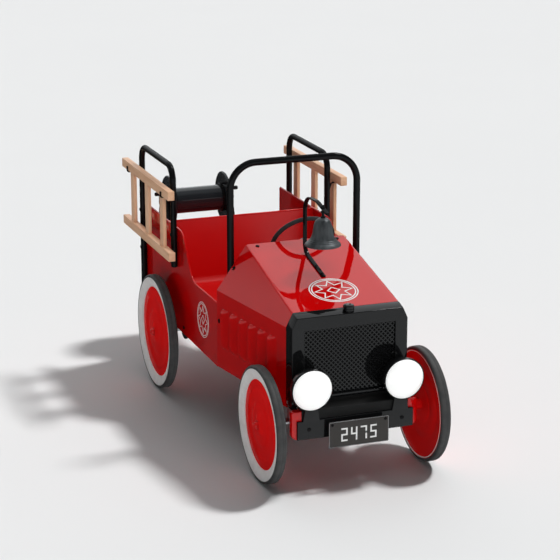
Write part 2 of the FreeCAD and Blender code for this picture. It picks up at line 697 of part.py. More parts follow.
bumper_back = dim("bumper_front") + dim("bumper_thick")
node(block("bumper", (-dim("bumper_half"), dim("bumper_half")),
           (dim("bumper_front"), bumper_back),
           (dim("bumper_bottom"), dim("bumper_top"))), "bumper")
plate_back = dim("plate_front") + 2
plate_parts = [block("plate_sheet", (-dim("plate_half"), dim("plate_half")),
                     (dim("plate_front"), plate_back),
                     (dim("plate_bottom"), dim("plate_top")))]
for sign in (-1, 1):
    plate_parts.append(rod(f"plate_spacer_{sign + 1}", 5, dim("bumper_front") - plate_back,
                           (45 * sign, plate_back, 128), (0, 1, 0)))
node(fuse("number_plate", plate_parts), "number_plate")
front_bolts = []
for sign in (-1, 1):
    front_bolts.append(rod(f"bumper_bolt_{sign + 1}", 4, 2.5,
                           (sign * (dim("bumper_half") - 26), dim("bumper_front"), 130),
                           (0, -1, 0)))
    front_bolts.append(rod(f"plate_bolt_{sign + 1}", 2.6, 1.6,
                           (sign * (dim("plate_half") - 8), dim("plate_front"),
                            dim("plate_top") - 8), (0, -1, 0)))
node(group("front_bolts", front_bolts), "front_bolts")

lamp_tabs = []
lamp_shells = []
lamp_rims = []
lamp_lenses = []
lamp_mouth = dim("lamp_front") + 5
bowl_radius = dim("lamp_radius") - 2
for side, sign in SIDES.items():
    centre = sign * dim("lamp_x")
    seat_at = sign * (dim("lamp_x") - 3)
    tab = padded(f"lamp_tab_{side}", "XZ_Plane", [
        (seat_at - 19, dim("bumper_top")), (seat_at - 13, dim("lamp_z") - 40),
        (seat_at + 13, dim("lamp_z") - 40), (seat_at + 19, dim("bumper_top"))],
        dim("bumper_thick"), -dim("bumper_front") - dim("bumper_thick"))
    bite = rod(f"lamp_bite_{side}", bowl_radius, 60,
               (centre, dim("lamp_front") - 5, dim("lamp_z")), (0, 1, 0))
    lamp_tabs.append(cut(f"lamp_bracket_{side}", tab, bite))
    steps = 8
    depth = dim("lamp_depth")
    curve = [(bowl_radius * math.cos(math.pi / 2 * step / steps),
              16 + (depth - 16) * math.sin(math.pi / 2 * step / steps))
             for step in range(1, steps)]
    shell_points = [(0, 4), (bowl_radius - 3, 4), (bowl_radius - 3, 0), (bowl_radius, 0),
                    (bowl_radius, 16)] + curve + [(0, depth)]
    lamp = turned(f"lamp_shell_{side}", "XY_Plane", shell_points, "V_Axis")
    place(lamp, centre, lamp_mouth, dim("lamp_z"))
    lamp_shells.append(lamp)
    rim_outer = rod(f"rim_outer_{side}", dim("lamp_radius") + 1.5, 8,
                    (centre, dim("lamp_front") - 3, dim("lamp_z")), (0, 1, 0))
    rim_inner = rod(f"rim_inner_{side}", bowl_radius - 0, 12,
                    (centre, dim("lamp_front") - 5, dim("lamp_z")), (0, 1, 0))
    lamp_rims.append(cut(f"lamp_rim_{side}", rim_outer, rim_inner))
    sag = [((bowl_radius - 0.2) * math.cos(math.pi / 2 * step / steps),
            -2 - 13 * math.sin(math.pi / 2 * step / steps)) for step in range(0, steps)]
    lens = turned(f"lamp_lens_{side}", "XY_Plane",
                  [(0, 4), (bowl_radius - 0.2, 4)] + sag + [(0, -15)], "V_Axis")
    place(lens, centre, lamp_mouth - 4, dim("lamp_z"))
    lamp_lenses.append(lens)
node(group("headlight_brackets", lamp_tabs), "headlight_brackets")
node(group("headlight_shells", lamp_shells), "headlight_shells")
node(group("headlight_rims", lamp_rims), "headlight_rims")
node(group("headlight_lenses", lamp_lenses), "headlight_lenses")


# ---- tube frames, ladders and reel ------------------------------------------------

screen_foot = dim("screen_foot")
node(bent_tube("windshield_frame", "XZ_Plane", (-dim("screen_x"), dim("screen_x")),
               (screen_foot, screen_foot), dim("screen_top"), dim("screen_bend"),
               dim("screen_tube"), -dim("screen_y")), "windshield_frame")
hook_solids = []
for side, sign in SIDES.items():
    node(bent_tube(f"rack_{side}", "YZ_Plane", (dim("rack_front"), dim("rack_rear")),
                   (dim("rack_front_foot"), dim("rack_rear_foot")), dim("rack_top"),
                   dim("rack_bend"), dim("rack_tube"), sign * dim("rack_x")),
         f"rack_{side}")

    def outward(low, high):
        pair = (sign * low, sign * high)
        return tuple(sorted(pair, key=lambda size: size.value))

    rail_in = dim("ladder_x") - dim("rail_depth") / 2
    rail_out = dim("ladder_x") + dim("rail_depth") / 2
    rear_end = dim("ladder_front") + dim("ladder_length")
    top_low = dim("ladder_top") - dim("ladder_rail_height")
    low_high = dim("ladder_low") + dim("ladder_rail_height")
    wood = [block(f"top_rail_{side}", outward(rail_in, rail_out),
                  (dim("ladder_front"), rear_end), (top_low, dim("ladder_top"))),
            block(f"low_rail_{side}", outward(rail_in, rail_out),
                  (dim("ladder_front"), rear_end), (dim("ladder_low"), low_high))]
    for index in range(3):
        middle = dim("first_rung") + dim("rung_pitch") * index
        wood.append(block(f"rung_{side}_{index}",
                          outward(dim("ladder_x") - dim("rung_thick") / 2,
                                  dim("ladder_x") + dim("rung_thick") / 2),
                          (middle - dim("rung_width") / 2, middle + dim("rung_width") / 2),
                          (low_high, top_low)))
    node(fuse(f"ladder_{side}", wood), f"ladder_{side}")

    tube_face = dim("rack_x") + dim("rack_tube")
    for index, (station, lip_at) in enumerate(((dim("rack_front"), dim("rack_front") - 4),
                                               (dim("rack_rear"), dim("rack_rear") + 20.5))):
        reach = (lip_at - 3.5, lip_at + 3.5)
        root = (station - 7.5, lip_at + 3.5)
        hook_solids.append(fuse(f"hook_{side}_{index}", [
            block(f"hook_root_{side}_{index}", outward(tube_face, tube_face + 3), root,
                  (top_low - 16, top_low - 0.5)),
            block(f"hook_bed_{side}_{index}", outward(tube_face, rail_out + 4.5), reach,
                  (top_low - 3.5, top_low - 0.5)),
            block(f"hook_lip_{side}_{index}", outward(rail_out + 1.5, rail_out + 4.5), reach,
                  (top_low - 3.5, top_low + 12))]))
node(group("ladder_hooks", hook_solids), "ladder_hooks")

reel_y = dim("reel_y")
reel_z = dim("reel_z")
disc_x = dim("reel_disc_x")
reel_parts = [rod("reel_drum", dim("reel_drum"), disc_x * 2, (-disc_x, reel_y, reel_z),
                  (1, 0, 0)),
              rod("reel_axle", dim("reel_axle"), 202, (-101, reel_y, reel_z), (1, 0, 0))]
bracket_solids = []
for side, sign in SIDES.items():
    heading = (sign, 0, 0)
    reel_parts.append(rod(f"reel_disc_{side}", dim("reel_disc"), dim("reel_disc_thick"),
                          (sign * disc_x, reel_y, reel_z), heading))
    reel_parts.append(rod(f"reel_collar_{side}", 38, 6,
                          (sign * (disc_x - 6), reel_y, reel_z), heading))
    reel_parts.append(block(f"crank_arm_{side}", tuple(sorted((sign * 96, sign * 101))),
                            (reel_y - 8, reel_y + 8),
                            (reel_z - 9, reel_z + dim("crank_throw") + 7)))
    reel_parts.append(rod(f"crank_peg_{side}", 5, 14,
                          (sign * 100, reel_y, reel_z + dim("crank_throw")), heading))
    offset = dim("reel_bracket_x") if sign > 0 else -dim("reel_bracket_x") - 4
    bracket = padded(f"bracket_plate_{side}", "YZ_Plane", [
        (reel_y - 58, dim("deck_top")), (reel_y - 24, reel_z + 6), (reel_y - 14, reel_z + 20),
        (reel_y + 14, reel_z + 20), (reel_y + 24, reel_z + 6), (reel_y + 58, dim("deck_top"))],
        4, offset)
    bore = rod(f"bracket_bore_{side}", dim("reel_axle") + gap, 12,
               (offset - 4, reel_y, reel_z), (1, 0, 0))
    bracket_solids.append(cut(f"bracket_{side}", bracket, bore))
node(fuse("hose_reel", reel_parts), "hose_reel")
node(group("reel_brackets", bracket_solids), "reel_brackets")


# ---- crank axle, push rods and pedals ---------------------------------------------

crank_x = dim("rod_x")
throw = dim("crank_radius")
axle_run = rear_outer
axle_parts = [rod("axle_middle", dim("axle_radius"), crank_x * 2 - 18,
                  (-crank_x + 9, rear_y, rear_radius), (1, 0, 0))]
for side, sign in SIDES.items():
    heading = (sign, 0, 0)
    pin_y = rear_y - throw * sign
    axle_parts.append(rod(f"axle_end_{side}", dim("axle_radius"), axle_run - crank_x - 9,
                          (sign * (crank_x + 9), rear_y, rear_radius), heading))
    low, high = sorted((rear_y, pin_y), key=lambda size: size.value)
    for edge, start in (("inner", crank_x - 12), ("outer", crank_x + 8)):
        web_low, web_high = sorted((sign * start, sign * (start + 4)),
                                   key=lambda size: size.value)
        axle_parts.append(block(f"crank_web_{edge}_{side}", (web_low, web_high),
                                (low - 8, high + 8), (rear_radius - 8, rear_radius + 8)))
    axle_parts.append(rod(f"crank_pin_{side}", dim("axle_radius"), 18,
                          (sign * (crank_x - 9), pin_y, rear_radius), heading))
node(fuse("rear_axle", axle_parts), "rear_axle")

hangers = []
for side, sign in SIDES.items():
    plate_x = tuple(sorted((sign * 148, sign * 152)))
    tab_x = tuple(sorted((sign * 150, (dim("tub_half") - thin).value * sign)))
    disc = rod(f"hanger_disc_{side}", 27, 4, (plate_x[0], rear_y, rear_radius), (1, 0, 0))
    plate = block(f"hanger_plate_{side}", plate_x, (rear_y - 27, rear_y + 27),
                  (rear_radius, 194))
    tab = block(f"hanger_tab_{side}", tab_x, (rear_y - 27, rear_y + 27), (190, 194))
    bore = rod(f"hanger_bore_{side}", dim("axle_radius") + gap, 12,
               (plate_x[0] - 4, rear_y, rear_radius), (1, 0, 0))
    hangers.append(cut(f"hanger_{side}", fuse(f"hanger_solid_{side}", [disc, plate, tab]), bore))
node(group("axle_hangers", hangers), "axle_hangers")

pivot_y = dim("pedal_pivot_y")
pivot_z = dim("pedal_pivot_z")
node(rod("pedal_bar", 6, dim("pedal_bar") * 2, (-dim("pedal_bar"), pivot_y, pivot_z),
         (1, 0, 0)), "pedal_bar")
swing = math.degrees(math.atan2(DIMENSIONS["crank_radius"], DIMENSIONS["pedal_drop"]))
for side, sign in SIDES.items():
    pin_y = rear_y - throw * sign
    front_end_y = pivot_y - throw * sign
    low, high = sorted((sign * (crank_x - 3), sign * (crank_x + 3)),
                       key=lambda size: size.value)
    bar = block(f"rod_bar_{side}", (low, high), (front_end_y, pin_y),
                (rear_radius - 5, rear_radius + 5))
    eye = rod(f"rod_eye_{side}", 11, 6, (low, pin_y, rear_radius), (1, 0, 0))
    tip = rod(f"rod_tip_{side}", 8, 6, (low, front_end_y, rear_radius), (1, 0, 0))
    bore = rod(f"rod_bore_{side}", dim("axle_radius") + gap, 12,
               (low - 3, pin_y, rear_radius), (1, 0, 0))
    node(cut(f"push_rod_{side}", fuse(f"push_rod_solid_{side}", [bar, eye, tip]), bore),
         f"push_rod_{side}")

    arm_low_x, arm_high_x = sorted((sign * (dim("pedal_x") - 3), sign * (dim("pedal_x") + 3)),
                                   key=lambda size: size.value)
    pad_low, pad_high = sorted((sign * (dim("pedal_x") + 3), sign * (dim("pedal_x") + 65)),
                               key=lambda size: size.value)
    drop = dim("pedal_drop")
    pieces = [block(f"pedal_arm_{side}", (arm_low_x, arm_high_x), (-9, 9), (-drop - 8, 0)),
              rod(f"pedal_eye_{side}", 13, 6, (arm_low_x, 0, 0), (1, 0, 0)),
              block(f"pedal_pad_{side}", (pad_low, pad_high), (-2, 8), (-170, -108))]
    solid = fuse(f"pedal_solid_{side}", pieces)
    hole = rod(f"pedal_hole_{side}", 6 + gap, 12, (arm_low_x - 3, 0, 0), (1, 0, 0))
    pedal = cut(f"pedal_{side}", solid, hole)
    place(pedal, 0, pivot_y, pivot_z, Rotation(Vector(1, 0, 0), -swing * sign))
    node(pedal, f"pedal_{side}")


# ---- bell -------------------------------------------------------------------------

bell_z = dim("bell_rim_z")
bell_radius = dim("bell_radius")
bell_height = dim("bell_height")
profile = ((1.0, 0.0), (0.94, 0.07), (0.73, 0.19), (0.6, 0.36), (0.53, 0.6), (0.48, 0.8),
           (0.38, 0.92), (0.2, 1.0))
outer = [(bell_radius * r, bell_height * h) for r, h in profile]
inner_profile = ((0.92, 0.0), (0.85, 0.07), (0.65, 0.19), (0.52, 0.36), (0.45, 0.6),
                 (0.4, 0.76), (0.3, 0.86), (0.15, 0.92))
inner = [(bell_radius * r, bell_height * h) for r, h in inner_profile]
bell_points = outer + [(0, bell_height)] + [(0, bell_height * 0.92)] + inner[::-1]
bell_shape = turned("bell_cup", "XZ_Plane", bell_points, "V_Axis")
place(bell_shape, 0, dim("bell_y"), bell_z)
bell_bolt = rod("bell_bolt", 3, 31, (0, dim("bell_y"), bell_z + bell_height), (0, 0, 1))
bell_lug = block("bell_lug", (-2, 2), (dim("bell_y") - 5, dim("bell_y") + 5),
                 (bell_z + bell_height - 16, bell_z + bell_height - 4))
node(fuse("bell", [bell_shape, bell_bolt, bell_lug]), "bell")
pivot_height = bell_z + bell_height - 18
clapper_parts = [rod("clapper_stem", 1.8, 36, (0, dim("bell_y"), pivot_height - 36), (0, 0, 1))]
clapper_ball = document.addObject("Part::Sphere", "clapper_ball")
bind(clapper_ball, "Radius", 6.5)
place(clapper_ball, 0, dim("bell_y"), pivot_height - 38)
clapper_eye = rod("clapper_eye", 1.9, 10, (-5, dim("bell_y"), pivot_height), (1, 0, 0))
node(fuse("clapper", clapper_parts + [clapper_ball, clapper_eye]), "clapper")

slope = math.atan2(DIMENSIONS["hood_rear_top"] - DIMENSIONS["hood_front_top"],
                   DIMENSIONS["hood_rear"] - DIMENSIONS["hood_front"])
half_thick = DIMENSIONS["strap_thick"] / 2


def above_hood(y, height):
    drop_from_rear = (DIMENSIONS["hood_rear"] - y) * math.tan(slope)
    return DIMENSIONS["hood_rear_top"] - drop_from_rear + height


strap_y = DIMENSIONS["strap_y"]
bend = DIMENSIONS["strap_bend"]
strap_top = DIMENSIONS["strap_top"]
lift = half_thick / math.cos(slope)
toe = Vector(0, DIMENSIONS["strap_toe_y"], above_hood(DIMENSIONS["strap_toe_y"], lift))
heel = Vector(0, strap_y - 14, above_hood(strap_y - 14, lift))
shin = Vector(0, strap_y, heel.z + 14)
heel_mid = Vector(0, strap_y - 3.2, heel.z + 4.6)
bend_start = Vector(0, strap_y, strap_top - bend)
bend_mid = Vector(0, strap_y - bend * 0.293, strap_top - bend * 0.293)
bend_end = Vector(0, strap_y - bend, strap_top)
crest = Vector(0, strap_y - bend - 32, strap_top)
strap_end = Vector(0, DIMENSIONS["strap_end_y"], strap_top - 12)
strap_path = Part.Wire([Part.LineSegment(toe, heel).toShape(),
                        Part.Arc(heel, heel_mid, shin).toShape(),
                        Part.LineSegment(shin, bend_start).toShape(),
                        Part.Arc(bend_start, bend_mid, bend_end).toShape(),
                        Part.LineSegment(bend_end, crest).toShape(),
                        Part.LineSegment(crest, strap_end).toShape()])
strap_face = strap_path.makeOffset2D(half_thick, fill=True, openResult=True)
strap_solid = strap_face.extrude(Vector(DIMENSIONS["strap_width"], 0, 0))
strap_solid.translate(Vector(-DIMENSIONS["strap_width"] / 2, 0, 0))
bolt_hole = Part.makeCylinder(3.1, 60, Vector(0, DIMENSIONS["bell_y"],
                                             DIMENSIONS["bell_rim_z"] + 50))
strap = document.addObject("Part::Feature", "bell_bracket")
strap.Shape = strap_solid.cut(bolt_hole)
node(strap, "bell_bracket")

# ---- loose screws -----------------------------------------------------------------

side_slant = math.atan2(DIMENSIONS["hood_rear_half"] - DIMENSIONS["hood_front_half"],
                        DIMENSIONS["hood_rear"] - DIMENSIONS["hood_front"])


def hood_side_at(y):
    return DIMENSIONS["hood_rear_half"] - (DIMENSIONS["hood_rear"] - y) * math.tan(side_slant)


screw_solids = []
for side, sign in SIDES.items():
    spots = [((sign * 95, -202, above_hood(-202, 0)), (0, -math.sin(slope), math.cos(slope))),
             ((sign * hood_side_at(-199), -199, 273),
              (sign * math.cos(side_slant), -math.sin(side_slant), 0))]
    for index, (spot, heading) in enumerate(spots):
        screw_solids.append(rod(f"screw_{side}_{index}", 4.5, 2.5, spot, heading))
node(group("body_screws", screw_solids), "body_screws")


# ---- checks and export ------------------------------------------------------------

document.recompute()
for item in document.Objects:
    if "Invalid" in item.State or "Error" in item.State:
        raise RuntimeError(f"{item.Name} failed: {item.State}")
os.makedirs("parts", exist_ok=True)
for item in nodes:
    shape = item.Shape
    if shape.isNull() or not shape.isValid() or not shape.Solids:
        raise RuntimeError(f"{item.Label} has no valid solid")
for item in nodes:
    item.Shape.exportStep(f"parts/{item.Label}.step")
print(f"{len(nodes)} sub-parts written")
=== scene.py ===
from math import atan2, cos, pi, radians, sin, sqrt, tan, tau

import bmesh
import bpy
from mathutils import Matrix, Vector


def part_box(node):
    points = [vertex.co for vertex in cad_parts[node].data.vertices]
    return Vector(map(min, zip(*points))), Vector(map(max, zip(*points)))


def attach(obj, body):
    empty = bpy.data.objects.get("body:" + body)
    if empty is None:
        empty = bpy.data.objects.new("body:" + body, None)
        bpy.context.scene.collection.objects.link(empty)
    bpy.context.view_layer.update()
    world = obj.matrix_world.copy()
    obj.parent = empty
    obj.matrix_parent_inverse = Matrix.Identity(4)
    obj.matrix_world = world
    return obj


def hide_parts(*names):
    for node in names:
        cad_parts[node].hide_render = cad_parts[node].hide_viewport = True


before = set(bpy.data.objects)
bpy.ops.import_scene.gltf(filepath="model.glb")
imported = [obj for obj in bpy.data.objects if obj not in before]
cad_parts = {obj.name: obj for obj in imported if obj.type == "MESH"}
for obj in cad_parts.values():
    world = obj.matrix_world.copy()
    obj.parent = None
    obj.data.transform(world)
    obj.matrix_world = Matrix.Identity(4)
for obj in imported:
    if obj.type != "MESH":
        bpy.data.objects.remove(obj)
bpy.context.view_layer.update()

# A child's fire-engine pedal car.  Lengths in this script are millimetres in the CAD
# frame (front -Y, driver's left +X, up +Z) and become metres when a mesh is stored.

SIDES = (("right", -1), ("left", 1))
MM = 0.001
MERGE_WITHIN = 0.001
BEVEL_FROM = 35  # degrees between two faces


# ---- camera and light ----

scene = bpy.context.scene
camera_data = bpy.data.cameras.new("camera")
camera_data.lens = 116.05
camera_data.sensor_width = 36
camera_data.clip_end = 60
camera = bpy.data.objects.new("camera", camera_data)
camera.location = (-1.3920, -3.8438, 1.4965)
camera.rotation_euler = (radians(73.60), 0, radians(-20.35))
scene.collection.objects.link(camera)
scene.camera = camera
scene.view_settings.view_transform = "Standard"

KEY_FROM = (0.56, 0.10, 0.86)
SKY_BASE = 0.04
SKY_CARD = 1.15
SKY_CARD_TOWARDS = Vector((0.22, 0.74, 0.63)).normalized()
SKY_CEILING = 0.32
SKY_BACK = 0.56
FLOOR_GLOW_FRONT = 0.85
FLOOR_GLOW_BACK = 0.06
SKY_TINT = (0.955, 0.985, 1.0)


def add_sun(name, towards, strength, softness, glossy=True):
    data = bpy.data.lights.new(name, "SUN")
    data.energy = strength
    data.angle = radians(softness)
    lamp = bpy.data.objects.new(name, data)
    lamp.rotation_euler = Vector(towards).to_track_quat("Z", "Y").to_euler()
    lamp.visible_glossy = glossy
    scene.collection.objects.link(lamp)
    return lamp


key_on_car = add_sun("key_on_car", KEY_FROM, 1.22, 14)
key_on_floor = add_sun("key_on_floor", KEY_FROM, 2.85, 8)
front_fill = add_sun("front_fill", (0.08, -0.74, 0.66), 1.40, 60, glossy=False)


def add_node(tree, kind, inputs=(), **settings):
    """A shader node whose inputs are given as values or as sockets to link from."""
    node = tree.nodes.new("ShaderNode" + kind)
    for key, value in settings.items():
        setattr(node, key, value)
    for key, value in dict(inputs).items():
        if isinstance(value, bpy.types.NodeSocket):
            tree.links.new(value, node.inputs[key])
        else:
            node.inputs[key].default_value = value
    return node


def map_range(tree, value, start, end, low, high, **settings):
    return add_node(tree, "MapRange", {
        "Value": value, "From Min": start, "From Max": end, "To Min": low, "To Max": high,
    }, **settings).outputs["Result"]


def build_world():
    """A dim studio: a bright card high behind the car, a pale ceiling and back wall,
    and below the horizon the glow that glossy paint sees in place of the floor."""
    world = bpy.data.worlds.new("studio")
    scene.world = world
    world.use_nodes = True
    tree = world.node_tree
    background = tree.nodes["Background"]
    direction = add_node(tree, "TexCoord").outputs["Generated"]

    def dot(towards):
        return add_node(tree, "VectorMath", {0: direction, 1: towards},
            operation="DOT_PRODUCT").outputs["Value"]

    def step(value, start, end, low, high):
        return map_range(tree, value, start, end, low, high, interpolation_type="SMOOTHSTEP")

    def combine(operation, first, second):
        return add_node(tree, "Math", {0: first, 1: second}, operation=operation).outputs["Value"]

    height, behind = dot((0, 0, 1)), dot((-0.35, 0.94, 0))
    card = step(dot(SKY_CARD_TOWARDS), 0.74, 0.93, SKY_BASE, SKY_CARD)
    ceiling = step(height, 0.74, 0.94, 0, SKY_CEILING)
    back_wall = combine("MULTIPLY", step(behind, 0.25, 0.8, 0, SKY_BACK),
        step(height, 0.3, 0.5, 1, 0))
    sky = combine("ADD", combine("ADD", card, ceiling), back_wall)
    glow_front = combine("MULTIPLY", step(behind, -0.5, 0.2, FLOOR_GLOW_FRONT, 0),
        step(height, 0.06, 0.28, 1, 0))
    glow_back = step(height, -0.02, 0.02, FLOOR_GLOW_BACK, 0)
    sky = combine("MULTIPLY", sky, step(height, -0.02, 0.02, 0, 1))
    total = combine("ADD", sky, combine("ADD", glow_front, glow_back))
    tree.links.new(total, background.inputs["Strength"])
    background.inputs["Color"].default_value = (*SKY_TINT, 1)


build_world()


# ---- materials ----

NOISE_MIDDLE = (0.3, 0.7)


def new_material(name, color, roughness, metallic=0.0, coat=0.0, specular=0.5):
    material = bpy.data.materials.new(name)
    material.use_nodes = True
    shader = material.node_tree.nodes["Principled BSDF"]
    for key, value in (("Base Color", (*color, 1)), ("Roughness", roughness),
            ("Metallic", metallic), ("Coat Weight", coat), ("Coat Roughness", 0.03),
            ("Specular IOR Level", specular)):
        shader.inputs[key].default_value = value
    return material


def set_glow(material, color, strength):
    shader = material.node_tree.nodes["Principled BSDF"]
    shader.inputs["Emission Color"].default_value = color
    shader.inputs["Emission Strength"].default_value = strength


def noise_node(tree, scale, detail=3, stretch=(1, 1, 1), roughness=0.5):
    """Object-space noise, stretched along the axes."""
    place = add_node(tree, "TexCoord").outputs["Object"]
    mapping = add_node(tree, "Mapping", {"Vector": place, "Scale": stretch})
    return add_node(tree, "TexNoise", {
        "Vector": mapping.outputs["Vector"], "Scale": scale, "Detail": detail,
        "Roughness": roughness,
    }).outputs["Fac"]


def color_from(tree, factor, *stops):
    node = add_node(tree, "ValToRGB", {"Fac": factor})
    elements = node.color_ramp.elements
    while len(elements) < len(stops):
        elements.new(0.5)
    for element, (position, color) in zip(elements, stops):
        element.position = position
        element.color = (*color, 1)
    tree.links.new(node.outputs["Color"], tree.nodes["Principled BSDF"].inputs["Base Color"])


def gloss_from(tree, factor, low, high):
    """Map the middle of a noise to a range of roughness."""
    tree.links.new(map_range(tree, factor, *NOISE_MIDDLE, low, high),
        tree.nodes["Principled BSDF"].inputs["Roughness"])


def add_bump(tree, height, distance, strength=1.0):
    bump = add_node(tree, "Bump", {"Height": height, "Distance": distance, "Strength": strength})
    tree.links.new(bump.outputs["Normal"], tree.nodes["Principled BSDF"].inputs["Normal"])


def enamel(name, color, dark, roughness, coat):
    """Sprayed enamel: faint mottling, orange peel and a little uneven gloss."""
    material = new_material(name, color, roughness, coat=coat, specular=0.0)
    tree = material.node_tree
    color_from(tree, noise_node(tree, 9, 4), (0.25, dark), (0.7, color))
    gloss_from(tree, noise_node(tree, 34, 5), roughness * 0.8, roughness * 1.35)
    add_bump(tree, noise_node(tree, 420, 2), 0.00004, 0.03)
    return material


def rubber(name, color, pale):
    material = new_material(name, color, 0.62, specular=0.35)
    tree = material.node_tree
    color_from(tree, noise_node(tree, 60, 6), (0.35, color), (0.75, pale))
    add_bump(tree, noise_node(tree, 900, 3), 0.00008, 0.6)
    return material


def beech(name, stretch):
    """Oiled beech with grain along one axis, fine flecks and soft bands."""
    material = new_material(name, (0.6, 0.34, 0.2), 0.5, specular=0.15)
    tree = material.node_tree
    bands = noise_node(tree, 26, 5, stretch, 0.6)
    flecks = noise_node(tree, 150, 2, stretch)
    mix = add_node(tree, "Math", {0: flecks, 1: 0.35, 2: bands}, operation="MULTIPLY_ADD")
    color_from(tree, mix.outputs["Value"], (0.42, (0.52, 0.27, 0.15)),
        (0.62, (0.77, 0.45, 0.275)), (0.85, (0.88, 0.57, 0.37)))
    gloss_from(tree, bands, 0.5, 0.36)
    add_bump(tree, flecks, 0.00012, 0.5)
    return material


def metal(name, color, roughness, stretch=(1, 1, 1)):
    material = new_material(name, color, roughness, metallic=1.0)
    tree = material.node_tree
    brush = noise_node(tree, 160, 4, stretch)
    gloss_from(tree, brush, roughness * 0.75, roughness * 1.3)
    add_bump(tree, brush, 0.00003, 0.4)
    return material


def cast_iron(name):
    """Dark cast bell metal with soft vertical streaks and a pebbled skin."""
    material = new_material(name, (0.05, 0.055, 0.058), 0.36, metallic=0.35)
    tree = material.node_tree
    streaks = noise_node(tree, 70, 5, (1, 1, 0.22))
    color_from(tree, streaks, (0.3, (0.022, 0.025, 0.027)), (0.72, (0.092, 0.103, 0.110)))
    gloss_from(tree, streaks, 0.28, 0.5)
    add_bump(tree, noise_node(tree, 330, 4), 0.0003, 0.5)
    return material


RED = enamel("red_enamel", (0.57, 0.0016, 0.0022), (0.53, 0.0014, 0.0019), 0.30, 1.0)
# The seat's red is a little brighter than the body red: the extra brightness is painted light on
# the seat.
SEAT_RED_WITH_PAINTED_LIGHT = enamel("seat_enamel", (0.62, 0.0016, 0.0020), (0.57, 0.0014, 0.0017), 0.34, 1.0)
SEAT_RED_WITH_PAINTED_LIGHT.node_tree.nodes["Principled BSDF"].inputs["Coat Roughness"].default_value = 0.26
# The wheel discs' red is set much brighter than the body red: part of it is their own paint, part
# is painted light on the discs.
WHEEL_PAINT_AND_PAINTED_LIGHT = enamel("wheel_enamel", (0.90, 0.010, 0.010), (0.83, 0.008, 0.008), 0.45, 0.25)
HUB_RED = enamel("hub_enamel", (0.70, 0.010, 0.010), (0.62, 0.008, 0.008), 0.30, 0.8)
DRUM = enamel("reel_enamel", (0.016, 0.019, 0.022), (0.012, 0.014, 0.017), 0.26, 1.0)
SPOKE = metal("spoke_steel", (0.13, 0.135, 0.14), 0.36)
BLACK = enamel("black_enamel", (0.007, 0.0074, 0.0078), (0.005, 0.005, 0.0055), 0.34, 0.65)
TUBE = enamel("black_tube_enamel", (0.006, 0.0064, 0.0068), (0.004, 0.004, 0.0044), 0.30, 0.28)
PLATE = enamel("plate_enamel", (0.060, 0.056, 0.053), (0.048, 0.045, 0.043), 0.42, 0.2)
WHITE = enamel("white_enamel", (0.86, 0.86, 0.85), (0.80, 0.80, 0.79), 0.40, 0.2)
TYRE = rubber("tyre_rubber", (0.040, 0.040, 0.041), (0.062, 0.061, 0.060))
WHITEWALL = rubber("whitewall_rubber", (0.82, 0.81, 0.80), (0.74, 0.72, 0.70))
WOOD_Y = beech("beech_long", (1, 0.05, 1))
WOOD_Z = beech("beech_upright", (1, 1, 0.05))
ZINC = metal("zinc_steel", (0.42, 0.42, 0.43), 0.34)
NICKEL = metal("nickel", (0.62, 0.61, 0.60), 0.2)
BELL = cast_iron("bell_iron")
GRIP = rubber("grip_rubber", (0.020, 0.021, 0.022), (0.032, 0.033, 0.034))
GLOWING_LENS = new_material("lamp_lens", (0.93, 0.94, 0.93), 0.18, coat=0.6)
# Painted light: the headlamp lenses glow faintly, though the lamps are not lit.
set_glow(GLOWING_LENS, (1, 1, 0.98, 1), 0.28)
color_from(GLOWING_LENS.node_tree, noise_node(GLOWING_LENS.node_tree, 45, 3), (0.3, (0.88, 0.89, 0.88)),
    (0.7, (0.95, 0.95, 0.94)))
# Near-black painted shade, for plates put into openings and gaps where there is only shade.
PAINTED_SHADE = new_material("shadow_gap", (0.006, 0.006, 0.006), 0.8)


# ---- mesh building ----

def store(name, bm, material, *replaced, body="root", slot=None, smooth=34, bevel=0.0,
        bevel_steps=2, thickness=0.0):
    """Turn a bmesh in millimetres into a finished piece that rides on a body and stands
    for the CAD nodes replaced.  Its slot comes from its material; the slot argument is not used."""
    bmesh.ops.remove_doubles(bm, verts=bm.verts, dist=MERGE_WITHIN)
    if not thickness:
        bmesh.ops.recalc_face_normals(bm, faces=bm.faces)
    bmesh.ops.scale(bm, vec=(MM, MM, MM), verts=bm.verts)
    mesh = bpy.data.meshes.new(name)
    bm.to_mesh(mesh)
    bm.free()
    piece = bpy.data.objects.new(name, mesh)
    scene.collection.objects.link(piece)
    mesh.materials.append(material)
    if thickness:
        solid = piece.modifiers.new("sheet", "SOLIDIFY")
        solid.thickness = thickness * MM
        solid.offset = -1
        solid.use_even_offset = True
    if bevel:
        round_off = piece.modifiers.new("edges", "BEVEL")
        round_off.width = bevel * MM
        round_off.segments = bevel_steps
        round_off.limit_method = "ANGLE"
        round_off.angle_limit = radians(BEVEL_FROM)
    if piece.modifiers:
        bpy.context.view_layer.update()
        graph = bpy.context.evaluated_depsgraph_get()
        piece.data = bpy.data.meshes.new_from_object(piece.evaluated_get(graph))
        piece.modifiers.clear()
    for polygon in piece.data.polygons:
        polygon.use_smooth = True
    piece.data.set_sharp_from_angle(angle=radians(smooth))
    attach(piece, body)
    if replaced:
        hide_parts(*replaced)


def ring_of(bm, points):
    return [bm.verts.new(point) for point in points]


def bridge(bm, first, second, closed=True):
    count = len(first)
    for index in range(count if closed else count - 1):
        after = (index + 1) % count
        bm.faces.new((first[index], first[after], second[after], second[index]))


def circle(centre, radius, across, upward, steps):
    """Points on a circle whose plane is given by two directions."""
    return [centre + across * (radius * cos(tau * k / steps)) + upward
        * (radius * sin(tau * k / steps)) for k in range(steps)]


